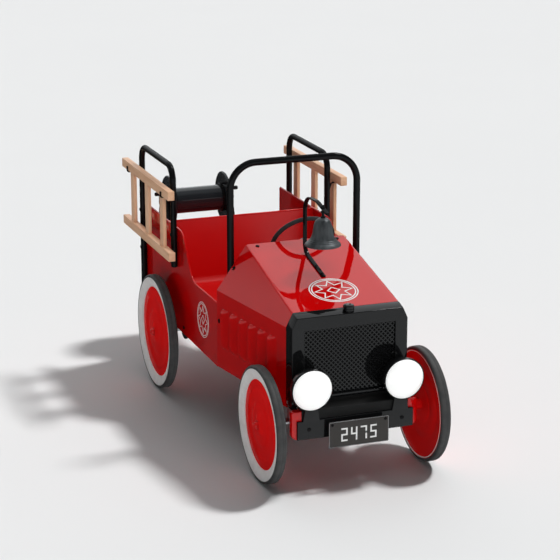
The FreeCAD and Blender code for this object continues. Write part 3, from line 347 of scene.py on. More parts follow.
def lathe(bm, profile, centre, axis, steps=96, closed=False):
    """Spin (along, radius) points round an axis through centre."""
    direction = Vector(axis).normalized()
    across = direction.orthogonal().normalized()
    if abs(direction.z) < 0.5:
        across = direction.cross(Vector((0, 0, 1))).normalized()
    upward = direction.cross(across)
    rings = []
    for along, radius in profile:
        base = Vector(centre) + direction * along
        on_axis = radius < 1e-6
        rings.append(ring_of(bm, [base] if on_axis else circle(base, radius, across, upward,
            steps)))
    pairs = list(zip(rings, rings[1:]))
    if closed:
        pairs.append((rings[-1], rings[0]))
    for first, second in pairs:
        if len(first) != len(second):
            tip, loop = sorted((first, second), key=len)
            for index in range(steps):
                bm.faces.new((tip[0], loop[index], loop[(index + 1) % steps]))
        elif len(first) > 1:
            bridge(bm, first, second)


def arc(centre, radius, start, end, steps):
    """Points on a circle in two dimensions; angles in degrees."""
    points = []
    for step in range(steps + 1):
        angle = radians(start + (end - start) * step / steps)
        points.append((centre[0] + radius * cos(angle), centre[1] + radius * sin(angle)))
    return points


def oval(middle, along, across, angles):
    """Lathe points on an ellipse; angles in degrees from its widest place."""
    return [(middle + along * sin(radians(angle)), across * cos(radians(angle)))
        for angle in angles]


def rounded(points, radii, steps=5):
    """Round the corners of an outline or path of 2D or 3D points.  A path is open where
    the radii at its ends are zero."""
    corners = [Vector(point) for point in points]
    if not isinstance(radii, (list, tuple)):
        radii = [radii] * len(corners)
    result = []
    count = len(corners)
    for index, corner in enumerate(corners):
        radius = radii[index]
        if not radius:
            result.append(corner.copy())
            continue
        before = corners[index - 1] - corner
        after = corners[(index + 1) % count] - corner
        to_before = before.normalized()
        to_after = after.normalized()
        half = to_before.angle(to_after) / 2
        reach = min(radius / tan(half), before.length * 0.49, after.length * 0.49)
        true_radius = reach * tan(half)
        middle = corner + (to_before + to_after).normalized() * (true_radius / sin(half))
        start = corner + to_before * reach - middle
        end = corner + to_after * reach - middle
        sweep = start.angle(end)
        for step in range(steps + 1):
            share = step / steps
            first = sin((1 - share) * sweep) / sin(sweep)
            second = sin(share * sweep) / sin(sweep)
            result.append(middle + start * first + end * second)
    return result


def tube(bm, path, radius, sides=20, closed=False, dome=0.35):
    """A round bar along a path of points, with slightly domed ends."""
    points = [Vector(point) for point in path]
    count = len(points)
    normal = None
    rings = []
    for index, point in enumerate(points):
        if closed:
            tangent = (points[(index + 1) % count] - points[index - 1]).normalized()
        else:
            ahead = points[min(index + 1, count - 1)]
            behind = points[max(index - 1, 0)]
            tangent = (ahead - behind).normalized()
        if normal is None:
            normal = tangent.orthogonal().normalized()
        normal = (normal - tangent * normal.dot(tangent)).normalized()
        other = tangent.cross(normal)
        size = radius(index / (count - 1)) if callable(radius) else radius
        rings.append(ring_of(bm, circle(point, size, normal, other, sides)))
        if index in (0, count - 1) and not closed:
            outward = -tangent if index == 0 else tangent
            loops = [rings[-1]]
            for share, rise in ((0.92, 0.35), (0.6, 0.8)):
                loops.append(ring_of(bm, [point + outward * (size * dome * rise)
                    + (vertex.co - point) * share for vertex in rings[-1]]))
            for first, second in zip(loops, loops[1:]):
                bridge(bm, first, second)
            bm.faces.new(loops[-1])
    for first, second in zip(rings, rings[1:]):
        bridge(bm, first, second)
    if closed:
        bridge(bm, rings[-1], rings[0])


PLANES = {
    "YZ": lambda u, v, level: (level, u, v),
    "XZ": lambda u, v, level: (u, level, v),
    "XY": lambda u, v, level: (u, v, level),
}


def plate(bm, outline, plane, low, high):
    """A flat plate: a 2D outline on a plane, between two levels of the third axis."""
    place = PLANES[plane]
    under, over = (
        ring_of(bm, [place(u, v, level) for u, v in outline]) for level in sorted((low, high)))
    bm.faces.new(under)
    bm.faces.new(over[::-1])
    bridge(bm, under, over)


def store_plate(name, outline, plane, low, high, material, *replaced, **finish):
    """A piece that is one plate."""
    bm = bmesh.new()
    plate(bm, outline, plane, low, high)
    store(name, bm, material, *replaced, **finish)


def rectangle(left, bottom, right, top):
    return [(left, bottom), (right, bottom), (right, top), (left, top)]


def brick(bm, low, high):
    """A box between two opposite corners; its x corners may come in either order."""
    left, right = sorted((low[0], high[0]))
    plate(bm, rectangle(left, low[1], right, high[1]), "XY", low[2], high[2])


def band_outline(path, half):
    """The outline of a strip of even thickness along a 2D path."""
    points = [Vector(point) for point in path]
    left, right = [], []
    for index, point in enumerate(points):
        ahead = points[min(index + 1, len(points) - 1)]
        behind = points[max(index - 1, 0)]
        tangent = (ahead - behind).normalized()
        normal = Vector((-tangent.y, tangent.x))
        left.append(point + normal * half)
        right.append(point - normal * half)
    return left + right[::-1]


def hex_nut(bm, centre, axis, size, height):
    """A hexagon nut with a chamfered top and a threaded end standing out of it."""
    lathe(bm, [(0, 0), (0, size), (height * 0.8, size), (height, size * 0.86),
        (height, size * 0.45), (height * 1.35, size * 0.42), (height * 1.35, 0)], centre, axis, 6)


def pan_screw(bm, centre, axis, radius, height):
    """A pan-head screw with a cross recess hinted by a sunk middle."""
    lathe(bm, [(0, radius), (height * 0.5, radius), (height * 0.85, radius * 0.82),
        (height, radius * 0.5), (height, radius * 0.34), (height * 0.55, radius * 0.22),
        (height * 0.55, 0)], centre, axis, 28)


def box_mm(node):
    low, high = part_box(node)
    return low * 1000, high * 1000


# ---- wheels ----

WHEEL_STEPS = 128
SHOULDER_DEPTH, WALL_WIDTH, WHEEL_BORE = 6.3, 23.6, 6.1


def build_wheel(prefix, side, sign, body):
    """Solid tyre with a sloping white wall round a pressed, ringed disc."""
    low, high = box_mm(f"{prefix}_tyre_{side}")
    centre = Vector((0, (low.y + high.y) / 2, (low.z + high.z) / 2))
    radius = (high.y - low.y) / 2
    inner = low.x if sign > 0 else -high.x
    width = high.x - low.x
    axis = (sign, 0, 0)
    hub = Vector((sign * inner, centre.y, centre.z))
    wall = radius - SHOULDER_DEPTH
    wall_inner = wall - WALL_WIDTH

    def turned(part, finish, profile, material, smooth, replaced=True):
        bm = bmesh.new()
        lathe(bm, profile, hub, axis, WHEEL_STEPS, closed=True)
        node = f"{prefix}_{part}_{side}"
        store(node + finish, bm, material, *([node] if replaced else ()), body=body, smooth=smooth)

    tread = [(width - 0.4, wall - 0.6), (width, wall + 0.2)]
    tread += arc((width - 5.2, radius - 5.6), 5.4, 0, 78, 6)
    tread += [(width * 0.5 + 2.2, radius), (width * 0.5 + 1.2, radius - 0.5),
        (width * 0.5 - 1.2, radius - 0.5), (width * 0.5 - 2.2, radius)]
    tread += arc((5.2, radius - 5.6), 5.4, 102, 180, 6)
    tread += [(0, wall - 2), (1.2, wall - 4.5), (4, wall - 5.5), (width - 4, wall - 5.5)]
    turned("tyre", "_rubber", tread, TYRE, 40)
    band = [(width - 0.7, wall - 0.3), (width, wall - 1.4), (width - 0.3, wall - 4),
        (width - 2.6, wall - 13), (width - 5.2, wall_inner + 2.2),
        (width - 6.2, wall_inner + 0.6), (width - 7.6, wall_inner),
        (width - 10.5, wall_inner + 0.4), (width - 10.5, wall - 1)]
    turned("whitewall", "_ring", band, WHITEWALL, 50)
    face = width - 7.2
    outer_rings = ((-0.8, 0.66), (-0.2, 0.645), (-0.2, 0.60), (-1.0, 0.585), (-1.0, 0.40),
        (-0.4, 0.385), (1.6, 0.35), (2.0, 0.33), (2.0, 0.20), (2.6, 0.185), (5.4, 0.135),
        (6.0, 0.12))
    inner_rings = ((7.6, 0.17), (7.4, 0.30), (5.6, 0.325), (5.4, 0.36), (6.6, 0.385),
        (6.8, 0.55), (4.8, 0.585), (4.6, 0.62), (6.2, 0.65), (7.4, 0.72))
    outer_face = [(face - 1.5, wall_inner + 1.5), (face - 0.8, wall_inner - 1.5)]
    outer_face += [(face + step, radius * share) for step, share in outer_rings]
    outer_face += [(face + 6.0, WHEEL_BORE)]
    inner_face = [(-13, WHEEL_BORE), (-13, 10.6), (-12.2, 11.4), (face - 9.5, 11.6)]
    inner_face += [(face - step, radius * share) for step, share in inner_rings]
    inner_face += [(2.4, wall - 7.5), (0.4, wall - 4.2), (-0.4, wall - 3.2), (-0.6, wall - 2.0),
        (0.2, wall - 1.4), (1.4, wall - 2.2), (2.6, wall - 5.5), (width - 11, wall_inner - 0.2)]
    turned("disc", "_pressing", outer_face + inner_face, WHEEL_PAINT_AND_PAINTED_LIGHT, 26)
    bead = [(0.2, wall - 1.6), (-0.5, wall - 2.2), (-0.9, wall - 3.2), (-0.5, wall - 4.4),
        (0.6, wall - 4.9), (1.0, wall - 3.0)]
    turned("bead", "", bead, WHITE, 60, replaced=False)

    end = hub + Vector((sign * (face + 5.8), 0, 0))
    bm = bmesh.new()
    lathe(bm, [(0, 10.4), (1.2, 10.4), (1.6, 9.6), (1.6, 0)], end, axis, 40)
    lathe(bm, [(1.5, 0), (1.5, 7.0), (2.0, 7.5), (5.4, 7.5), (6.6, 6.9), (8.6, 5.0), (9.4, 2.6),
        (9.6, 0)], end, axis, 36)
    replaced = [f"front_nut_{side}"] if prefix == "front" else []
    store(f"{prefix}_hub_cap_{side}", bm, HUB_RED, *replaced, body=body, smooth=30)


for side, sign in SIDES:
    build_wheel("front", side, sign, f"front_wheel_{side}")
    build_wheel("rear", side, sign, "rear_wheels")
bm = bmesh.new()
for side, sign in SIDES:
    low, high = box_mm("rear_nuts")
    centre = Vector((sign * (high.x - 11.5), (low.y + high.y) / 2, (low.z + high.z) / 2))
    lathe(bm, [(0, 4.2), (1.2, 4.2), (1.2, 0)], centre, (sign, 0, 0), 20)
store("rear_nut_washers", bm, NICKEL, "rear_nuts", body="rear_wheels")


# ---- hood ----

HOOD_LOW, HOOD_HIGH = box_mm("hood")
HOOD_REAR = HOOD_HIGH.y
HOOD_FRONT = HOOD_LOW.y
HOOD_BOTTOM = 162.0
HOOD_SHEET = 1.4
REAR_SECTION = {"half": 187.0, "top_half": 116.8, "shoulder": 341.8, "crown": 440.0}
FRONT_SECTION = {"half": 135.6, "top_half": 120.8, "shoulder": 339.7, "crown": 370.0}
LOUVRE_FRONT_EDGES = (-250.5, -291.5, -332.5, -373.5, -414.5, -455.5)
LOUVRE_WIDTH = 29.0
LOUVRE_HEIGHT = 8.5
LOUVRE_BOTTOM, LOUVRE_TOP = 214.0, 306.0
LOUVRE_END = 18.0


def hood_size(key, y):
    share = (y - HOOD_REAR) / (HOOD_FRONT - HOOD_REAR)
    return REAR_SECTION[key] + (FRONT_SECTION[key] - REAR_SECTION[key]) * share


def hood_top(y):
    return hood_size("crown", y)


def louvre_lift(y, z):
    """How far the pressed louvre stands out of the hood side at a point."""
    if not LOUVRE_BOTTOM < z < LOUVRE_TOP:
        return 0.0
    for front in LOUVRE_FRONT_EDGES:
        share = (y - front) / LOUVRE_WIDTH
        if 0 <= share <= 1.0001:
            across = sin(min(share, 1) * pi / 2) ** 1.8
            reach = min(z - LOUVRE_BOTTOM, LOUVRE_TOP - z)
            along = 1.0
            if reach < LOUVRE_END:
                along = sqrt(max(0.0, 1 - (1 - reach / LOUVRE_END) ** 2))
            return LOUVRE_HEIGHT * across * along
    return 0.0


def build_hood():
    stations = {HOOD_REAR, HOOD_FRONT}
    for front in LOUVRE_FRONT_EDGES:
        for share in (0, 0.08, 0.2, 0.35, 0.5, 0.65, 0.8, 0.9, 0.97, 1.0):
            stations.add(front + LOUVRE_WIDTH * share)
        stations.add(front + LOUVRE_WIDTH + 0.35)
        stations.add(front - 4)
    stations |= {HOOD_REAR - step for step in (1.2, 6, 14, 24)}
    side_heights = [HOOD_BOTTOM + 3, 175, 190, 205, 212]
    side_heights += [LOUVRE_BOTTOM + step for step in (0.2, 1, 2.5, 5, 8, 12, 16)]
    side_heights += [234, 238, 244, 254, 264, 274, 282, 286]
    side_heights += [LOUVRE_TOP - step for step in (16, 12, 8, 5, 2.5, 1, 0.2)]
    side_heights += [310, 318, 326, 333]
    bm = bmesh.new()
    rings = []
    for y in sorted(stations):
        half = hood_size("half", y)
        shoulder = (half, hood_size("shoulder", y))
        crown = (hood_size("top_half", y), hood_size("crown", y))
        right = [(half - 12, HOOD_BOTTOM + 0.6), (half - 3, HOOD_BOTTOM),
            (half - 0.9, HOOD_BOTTOM + 0.8)]
        right += [(half + louvre_lift(y, z), z) for z in side_heights]
        corner = rounded([(half, 333), shoulder, crown, (0, crown[1])], [0, 7, 7, 0], 5)
        right += corner[1:-1]
        right += [(crown[0] * share, crown[1]) for share in (0.85, 0.6, 0.3)]
        profile = [(-u, v) for u, v in right] + [(0, crown[1])] + right[::-1]
        rings.append(ring_of(bm, [(u, y, v) for u, v in profile]))
    for first, second in zip(rings, rings[1:]):
        bridge(bm, first, second, closed=False)
    bmesh.ops.recalc_face_normals(bm, faces=bm.faces)
    top_face = max(bm.faces, key=lambda face: face.calc_center_median().z)
    if top_face.normal.z < 0:
        bmesh.ops.reverse_faces(bm, faces=bm.faces)
    store("hood_pressing", bm, RED, "hood", smooth=28, thickness=HOOD_SHEET)

    # Painted shade: a near-black plate in each louvre mouth stands for the shade inside the
    # louvre.
    bm = bmesh.new()
    for sign in (-1, 1):
        for front in LOUVRE_FRONT_EDGES:
            y = front + LOUVRE_WIDTH + 0.5
            half = hood_size("half", y)
            mouth = half + LOUVRE_HEIGHT - HOOD_SHEET - 0.2
            slot = [(half + 0.2, LOUVRE_BOTTOM + 8), (mouth, LOUVRE_BOTTOM + 19),
                (mouth, LOUVRE_TOP - 19), (half + 0.2, LOUVRE_TOP - 8)]
            plate(bm, [(sign * u, v) for u, v in slot], "XZ", y, y + 0.35)
    store("louvre_mouth_shade", bm, PAINTED_SHADE)


build_hood()


# ---- tub sides, seat, dash and deck ----

TUB_HALF, TUB_REAR, TUB_TOP = box_mm("tub_side_left")[1]
TUB_BOTTOM = 162.0
SILL = 311.5
FOOTWELL_LEVEL = 188


def tub_edge():
    """The top edge of a tub side from the hood back to the rear corner, as (y, z)."""
    sweep = [(-33, 311.6), (-12, 317), (9, 336), (26, 360), (42, 387), (62, 406), (84, 411.3)]
    points = [(HOOD_REAR + 0.5, SILL), (-60, SILL)]
    for index in range(len(sweep) - 1):
        before = Vector(sweep[max(index - 1, 0)])
        start, end = Vector(sweep[index]), Vector(sweep[index + 1])
        after = Vector(sweep[min(index + 2, len(sweep) - 1)])
        for step in range(5):
            t = step / 5
            points.append(tuple(0.5 * (2 * start + (end - before) * t
                + (2 * before - 5 * start + 4 * end - after) * t * t
                + (3 * start - before - 3 * end + after) * t ** 3)))
    return points + [(84, 411.3), (95, TUB_TOP), (TUB_REAR - 3, TUB_TOP), (TUB_REAR, TUB_TOP - 3)]


EDGE = tub_edge()
for side, sign in SIDES:
    outline = EDGE + [(TUB_REAR, TUB_BOTTOM), (HOOD_REAR + 0.5, TUB_BOTTOM)]
    store_plate(f"tub_panel_{side}", outline, "YZ", sign * (TUB_HALF - 1.6), sign * TUB_HALF, RED,
        f"tub_side_{side}", smooth=30)
    bm = bmesh.new()
    hem_x = sign * (TUB_HALF - 1.0)
    tube(bm, [(hem_x, y, z - 0.4) for y, z in EDGE] + [(hem_x, TUB_REAR - 0.4, TUB_BOTTOM + 1)],
        2.1, 12)
    store(f"tub_hem_{side}", bm, RED, smooth=60)
    bm = bmesh.new()
    brick(bm, (sign * (TUB_HALF - 14), HOOD_REAR + 1, TUB_BOTTOM - 0.6),
        (sign * (TUB_HALF - 1.2), TUB_REAR - 1, TUB_BOTTOM + 0.8))
    store(f"tub_flange_{side}", bm, RED, bevel=0.5)

SEAT_FRONT, SEAT_LEVEL = -34.0, 258.0
SEAT_BACK_FOOT, SEAT_BACK_TOP = 146.6, 174.6
seat_path = rounded([(SEAT_FRONT, SEAT_LEVEL - 19), (SEAT_FRONT, SEAT_LEVEL),
    (SEAT_BACK_FOOT, SEAT_LEVEL), (SEAT_BACK_TOP, 410)], [0, 8, 20, 0], 10)
SEAT_HALF = TUB_HALF - 1.9
store_plate("seat_pressing", band_outline(seat_path, 0.9), "YZ", -SEAT_HALF, SEAT_HALF, SEAT_RED_WITH_PAINTED_LIGHT,
    "seat", smooth=32)
bm = bmesh.new()
tube(bm, [(-SEAT_HALF, 175.0, 410.4), (SEAT_HALF, 175.0, 410.4)], 2.2, 16)
store("seat_back_roll", bm, SEAT_RED_WITH_PAINTED_LIGHT, smooth=60)
bm = bmesh.new()
brick(bm, (-TUB_HALF + 5, -208, FOOTWELL_LEVEL), (TUB_HALF - 5, HOOD_REAR + 4,
    FOOTWELL_LEVEL + 1.2))
store("footwell_toe_board", bm, BLACK, bevel=0.4)

DECK_END = box_mm("rear_deck")[1].y
TAIL_HALF = 112.0
DECK_TOP = 285.0
deck_outline = [(-TUB_HALF + 2, 156), (TUB_HALF - 2, 156), (TUB_HALF - 2, TUB_REAR),
    (TAIL_HALF, TUB_REAR), (TAIL_HALF, DECK_END), (-TAIL_HALF, DECK_END), (-TAIL_HALF, TUB_REAR),
    (-TUB_HALF + 2, TUB_REAR)]
deck_outline = rounded(deck_outline, [0, 0, 0, 6, 14, 14, 6, 0], 5)
store_plate("deck_floor", deck_outline, "XY", DECK_TOP - 1.8, DECK_TOP, RED, "rear_deck",
    smooth=30)
skirt = [(-TAIL_HALF + 1, TUB_REAR), (-TAIL_HALF + 1, DECK_END - 1),
    (TAIL_HALF - 1, DECK_END - 1), (TAIL_HALF - 1, TUB_REAR)]
skirt = rounded(skirt, [0, 13, 13, 0], 6)
store_plate("deck_skirt", band_outline(skirt, 0.8), "XY", DECK_TOP - 16, DECK_TOP - 0.9, RED,
    smooth=30)
store_plate("rear_panel_sheet", rectangle(-TUB_HALF + 2, 168, TUB_HALF - 2, DECK_TOP - 1), "XZ",
    TUB_REAR - 2, TUB_REAR - 0.4, RED)
bm = bmesh.new()
for rib in range(-4, 5):
    tube(bm, [(rib * 36, 196, DECK_TOP + 0.1), (rib * 36, 396, DECK_TOP + 0.1)], 2.2, 12)
for rib in range(-2, 3):
    tube(bm, [(rib * 22, 424, DECK_TOP + 0.1), (rib * 22, 470, DECK_TOP + 0.1)], 2.0, 12)
store("deck_ribs", bm, RED, smooth=60)


# ---- radiator ----

SHELL_LOW, SHELL_HIGH = box_mm("radiator_shell")
SHELL_FRONT, SHELL_REAR = SHELL_LOW.y, SHELL_HIGH.y
MESH_HALF, _, MESH_TOP = box_mm("grille_mesh")[1]
MESH_BOTTOM = 189.0
LIP_BOTTOM = 178.0
SHOULDER = FRONT_SECTION["shoulder"]
STRIP_PITCH, STRIP_WIDTH, STRIP_THICKNESS = 10.3, 2.5, 0.9


def build_shell():
    bm = bmesh.new()

    def outline(y, half, top_half, bottom, top):
        return ring_of(bm, [(-half, y, bottom), (-half, y, SHOULDER), (-top_half, y, top),
            (top_half, y, top), (half, y, SHOULDER), (half, y, bottom)])

    def window(y):
        corners = rectangle(-MESH_HALF, MESH_TOP, MESH_HALF, MESH_BOTTOM)
        return ring_of(bm, [(u, y, v) for u, v in corners[-1:] + corners[:-1]])

    def face_ring(outer, hole):
        for loop in ((outer[0], outer[1], hole[1], hole[0]), (outer[1], outer[2], hole[1]),
                (outer[2], outer[3], hole[2], hole[1]), (outer[3], outer[4], hole[2]),
                (outer[4], outer[5], hole[3], hole[2]), (outer[5], outer[0], hole[0], hole[3])):
            bm.faces.new(loop)

    back = outline(SHELL_REAR, 135.6, 120.8, LIP_BOTTOM, 370.0)
    front = outline(SHELL_FRONT, 131.0, 120.2, LIP_BOTTOM + 3, 363.4)
    front_hole = window(SHELL_FRONT)
    back_hole = window(SHELL_REAR)
    bridge(bm, back, front)
    face_ring(front, front_hole)
    face_ring(back, back_hole)
    bridge(bm, front_hole, back_hole)
    store("radiator_surround", bm, BLACK, "radiator_shell", bevel=1.3, bevel_steps=3, smooth=30)

    bm = bmesh.new()
    brick(bm, (-MESH_HALF - 1, SHELL_FRONT - 3.5, MESH_BOTTOM - 5),
        (MESH_HALF + 1, SHELL_FRONT + 8, MESH_BOTTOM + 1.2))
    store("radiator_sill", bm, BLACK, bevel=1.2, bevel_steps=3)
    bm = bmesh.new()
    for sign in (-1, 1):
        brick(bm, (sign * 119, SHELL_FRONT + 3, 162.5), (sign * 131, SHELL_REAR, LIP_BOTTOM + 2))
    store("radiator_feet", bm, BLACK, bevel=1.0)


def build_mesh_grille():
    """Expanded-metal lattice: two families of crossing flat strips, one in front."""
    bm = bmesh.new()
    middle = (MESH_BOTTOM + MESH_TOP) / 2
    half_height = (MESH_TOP - MESH_BOTTOM) / 2
    level = SHELL_FRONT + 5.0
    reach = MESH_HALF + half_height
    for family in (-1, 1):
        count = int(reach / STRIP_PITCH) + 1
        for index in range(-count, count + 1):
            offset = (index + 0.5) * STRIP_PITCH
            low_end = max(-MESH_HALF, offset - half_height)
            high_end = min(MESH_HALF, offset + half_height)
            if high_end - low_end < 3:
                continue
            strip = [(family * end, middle + end - offset) for end in (low_end, high_end)]
            front = level + family * 0.5 - STRIP_THICKNESS / 2
            plate(bm, band_outline(strip, STRIP_WIDTH / 2), "XZ", front, front + STRIP_THICKNESS)
    store("grille_lattice", bm, BLACK, "grille_mesh", smooth=50)
    # Painted shade: a near-black plate behind the lattice stands for the dark space behind the
    # grille.
    store_plate("radiator_shade_plate", rectangle(-MESH_HALF, MESH_BOTTOM, MESH_HALF, MESH_TOP), "XZ",
        SHELL_FRONT + 15, SHELL_FRONT + 16, PAINTED_SHADE)


build_shell()
build_mesh_grille()
CAP_LOW, CAP_HIGH = box_mm("radiator_cap")
cap_centre = (*((CAP_LOW + CAP_HIGH) / 2).xy, CAP_LOW.z)
bm = bmesh.new()
lathe(bm, [(0, 8.5), (7.5, 8.5), (8.4, 10.6), (9.8, 12), (12.6, 12), (13.4, 11.2), (13.8, 11.8),
    (19.0, 11.8), (20.6, 11.0), (21.6, 9.0), (22.1, 5), (22.3, 0)], cap_centre, (0, 0, 1), 48)
store("radiator_filler_cap", bm, BLACK, "radiator_cap", smooth=30)


# ---- bumper, plate and headlights ----

BUMPER_LOW, BUMPER_HIGH = box_mm("bumper")
store_plate("bumper_bar", rectangle(BUMPER_LOW.x, BUMPER_LOW.z, BUMPER_HIGH.x, BUMPER_HIGH.z),
    "XZ", BUMPER_LOW.y, BUMPER_HIGH.y, BLACK, "bumper", bevel=1.1, bevel_steps=3)

MEMBER_LOW, MEMBER_HIGH = box_mm("front_cross_member")
corners = rectangle(MEMBER_LOW.x, MEMBER_LOW.z, MEMBER_HIGH.x, MEMBER_HIGH.z)
store_plate("cross_member_pressing", rounded(corners, [12, 12, 5, 5], 6), "XZ", MEMBER_LOW.y,
    MEMBER_HIGH.y, RED, "front_cross_member", bevel=1.6, bevel_steps=3, smooth=32)

# A sheet below the grille, over the top of the red cross member, that shuts out light; its
# near-black colour is painted shade.
apron_top = MEMBER_HIGH.z + 1.3
apron_path = rounded([(SHELL_FRONT + 9, MESH_BOTTOM - 4), (SHELL_FRONT + 5, apron_top),
    (MEMBER_LOW.y - 0.7, apron_top), (MEMBER_LOW.y - 0.7, BUMPER_HIGH.z - 3)], [0, 8, 2, 0], 6)
store_plate("radiator_apron_shade", band_outline(apron_path, 0.6), "YZ", -121, 121, PAINTED_SHADE, smooth=32)

PLATE_LOW, PLATE_HIGH = box_mm("number_plate")
PLATE_FRONT = PLATE_LOW.y


def build_number_plate():
    bm = bmesh.new()
    corners = rectangle(PLATE_LOW.x, PLATE_LOW.z, PLATE_HIGH.x, PLATE_HIGH.z)
    plate(bm, rounded(corners, 2.2, 4), "XZ", PLATE_FRONT + 0.2, PLATE_FRONT + 2.0)
    for sign in (-1, 1):
        lathe(bm, [(0, 5), (PLATE_HIGH.y - PLATE_FRONT - 2, 5)],
            (sign * 45, PLATE_FRONT + 2, 128), (0, 1, 0), 24)
    store("plate_sheet", bm, PLATE, "number_plate", bevel=0.5, smooth=30)
    bm = bmesh.new()
    inset = 1.3
    rim = rectangle(PLATE_LOW.x + inset, PLATE_LOW.z + inset, PLATE_HIGH.x - inset,
        PLATE_HIGH.z - inset)
    tube(bm, rounded([(u, PLATE_FRONT, v) for u, v in rim], 2.4, 4), 0.55, 8, closed=True)
    store("plate_edge", bm, ZINC, smooth=60)


# strokes as left, bottom, right and top, in half widths and half heights of a digit
STROKES = {"a": (-1, 1, 1, 1), "b": (1, 0, 1, 1), "c": (1, -1, 1, 0), "d": (-1, -1, 1, -1),
    "e": (-1, -1, -1, 0), "f": (-1, 0, -1, 1), "g": (-1, 0, 1, 0)}
DIGITS = {"2": "abged", "4": "fgbc", "7": "abc", "5": "afgcd"}
NUMBER = "2475"
DIGIT_PITCH, HALF_WIDTH, HALF_HEIGHT, HALF_STROKE = 22.0, 5.5, 13.0, 1.7


def build_digits():
    """Plain block digits, standing a hair proud of the plate."""
    bm = bmesh.new()
    middle = (PLATE_LOW.z + PLATE_HIGH.z) / 2 - 2
    for index, digit in enumerate(NUMBER):
        centre = (index - (len(NUMBER) - 1) / 2) * DIGIT_PITCH
        for key in DIGITS[digit]:
            left, bottom, right, top = STROKES[key]
            stroke = rectangle(centre + left * HALF_WIDTH - HALF_STROKE,
                middle + bottom * HALF_HEIGHT - HALF_STROKE,
                centre + right * HALF_WIDTH + HALF_STROKE,
                middle + top * HALF_HEIGHT + HALF_STROKE)
            level = PLATE_FRONT - 0.25 - 0.02 * (key in "adg")
            plate(bm, stroke, "XZ", level, PLATE_FRONT + 0.6)
    store("plate_digits", bm, WHITE)


build_number_plate()
build_digits()

bm = bmesh.new()
for sign in (-1, 1):
    pan_screw(bm, (sign * 106, BUMPER_LOW.y, 130), (0, -1, 0), 4.2, 2.2)
    pan_screw(bm, (sign * (PLATE_HIGH.x - 8), PLATE_FRONT + 0.2, PLATE_HIGH.z - 7), (0, -1, 0),
        3.1, 1.8)
store("front_screws", bm, TUBE, "front_bolts", slot="zinc_steel")

LAMP_LOW, LAMP_HIGH = box_mm("headlight_rims")
LAMP_Z = (LAMP_LOW.z + LAMP_HIGH.z) / 2
LAMP_X = 104.2
LAMP_FRONT = LAMP_HIGH.y
bowls, rims, lenses, tabs = (bmesh.new() for _ in range(4))
for sign in (-1, 1):
    mouth = (sign * LAMP_X, LAMP_FRONT, LAMP_Z)
    bowl = [(-3, 42.6), (0, 42.8), (10, 42.2)]
    bowl += oval(10, 29, 42.2, (14, 28, 42, 54, 64, 73, 81, 86)) + [(39.5, 0)]
    lathe(bowls, bowl, mouth, (0, 1, 0), 72)
    lathe(rims, [(-7.6, 43.2), (-8.2, 44.2), (-7.8, 45.2), (-6.2, 46.0), (-2, 46.0), (0.2, 45.4),
        (0.2, 43.4), (-2, 42.9)], mouth, (0, 1, 0), 80, closed=True)
    dome = oval(-5.2, -12.8, 44.2, (90, 82, 74, 65, 56, 46, 36, 26, 16, 6, 0))
    lathe(lenses, dome + [(-2.5, 43.0)], mouth, (0, 1, 0), 80)
    seat_x = sign * (LAMP_X - 3)
    trapezoid = [(seat_x - 19, 148), (seat_x + 19, 148), (seat_x + 13, 181), (seat_x - 13, 181)]
    plate(tabs, rounded(trapezoid, [1, 1, 4, 4], 4), "XZ", BUMPER_LOW.y - 1.5, BUMPER_LOW.y + 2.5)
    hex_nut(tabs, (sign * LAMP_X, -546, LAMP_Z - 41.5), (0, 0, -1), 6.5, 5)
store("headlight_bowls", bowls, BLACK, "headlight_shells", smooth=40)
store("headlight_bezels", rims, BLACK, "headlight_rims", smooth=50)
store("headlight_domes", lenses, GLOWING_LENS, "headlight_lenses", smooth=60)
store("headlight_stands", tabs, BLACK, "headlight_brackets", bevel=0.9)


# ---- tube frames and ladders ----

SCREEN_X, SCREEN_Y, SCREEN_TOP, SCREEN_FOOT = 151.0, -182.0, 623.3, 200.0
bm = bmesh.new()
screen_path = rounded([(-SCREEN_X, SCREEN_Y, SCREEN_FOOT), (-SCREEN_X, SCREEN_Y, SCREEN_TOP),
    (SCREEN_X, SCREEN_Y, SCREEN_TOP), (SCREEN_X, SCREEN_Y, SCREEN_FOOT)], [0, 60, 60, 0], 18)
tube(bm, screen_path, 7.9, 28)
store("windshield_tube", bm, TUBE, "windshield_frame", smooth=60)

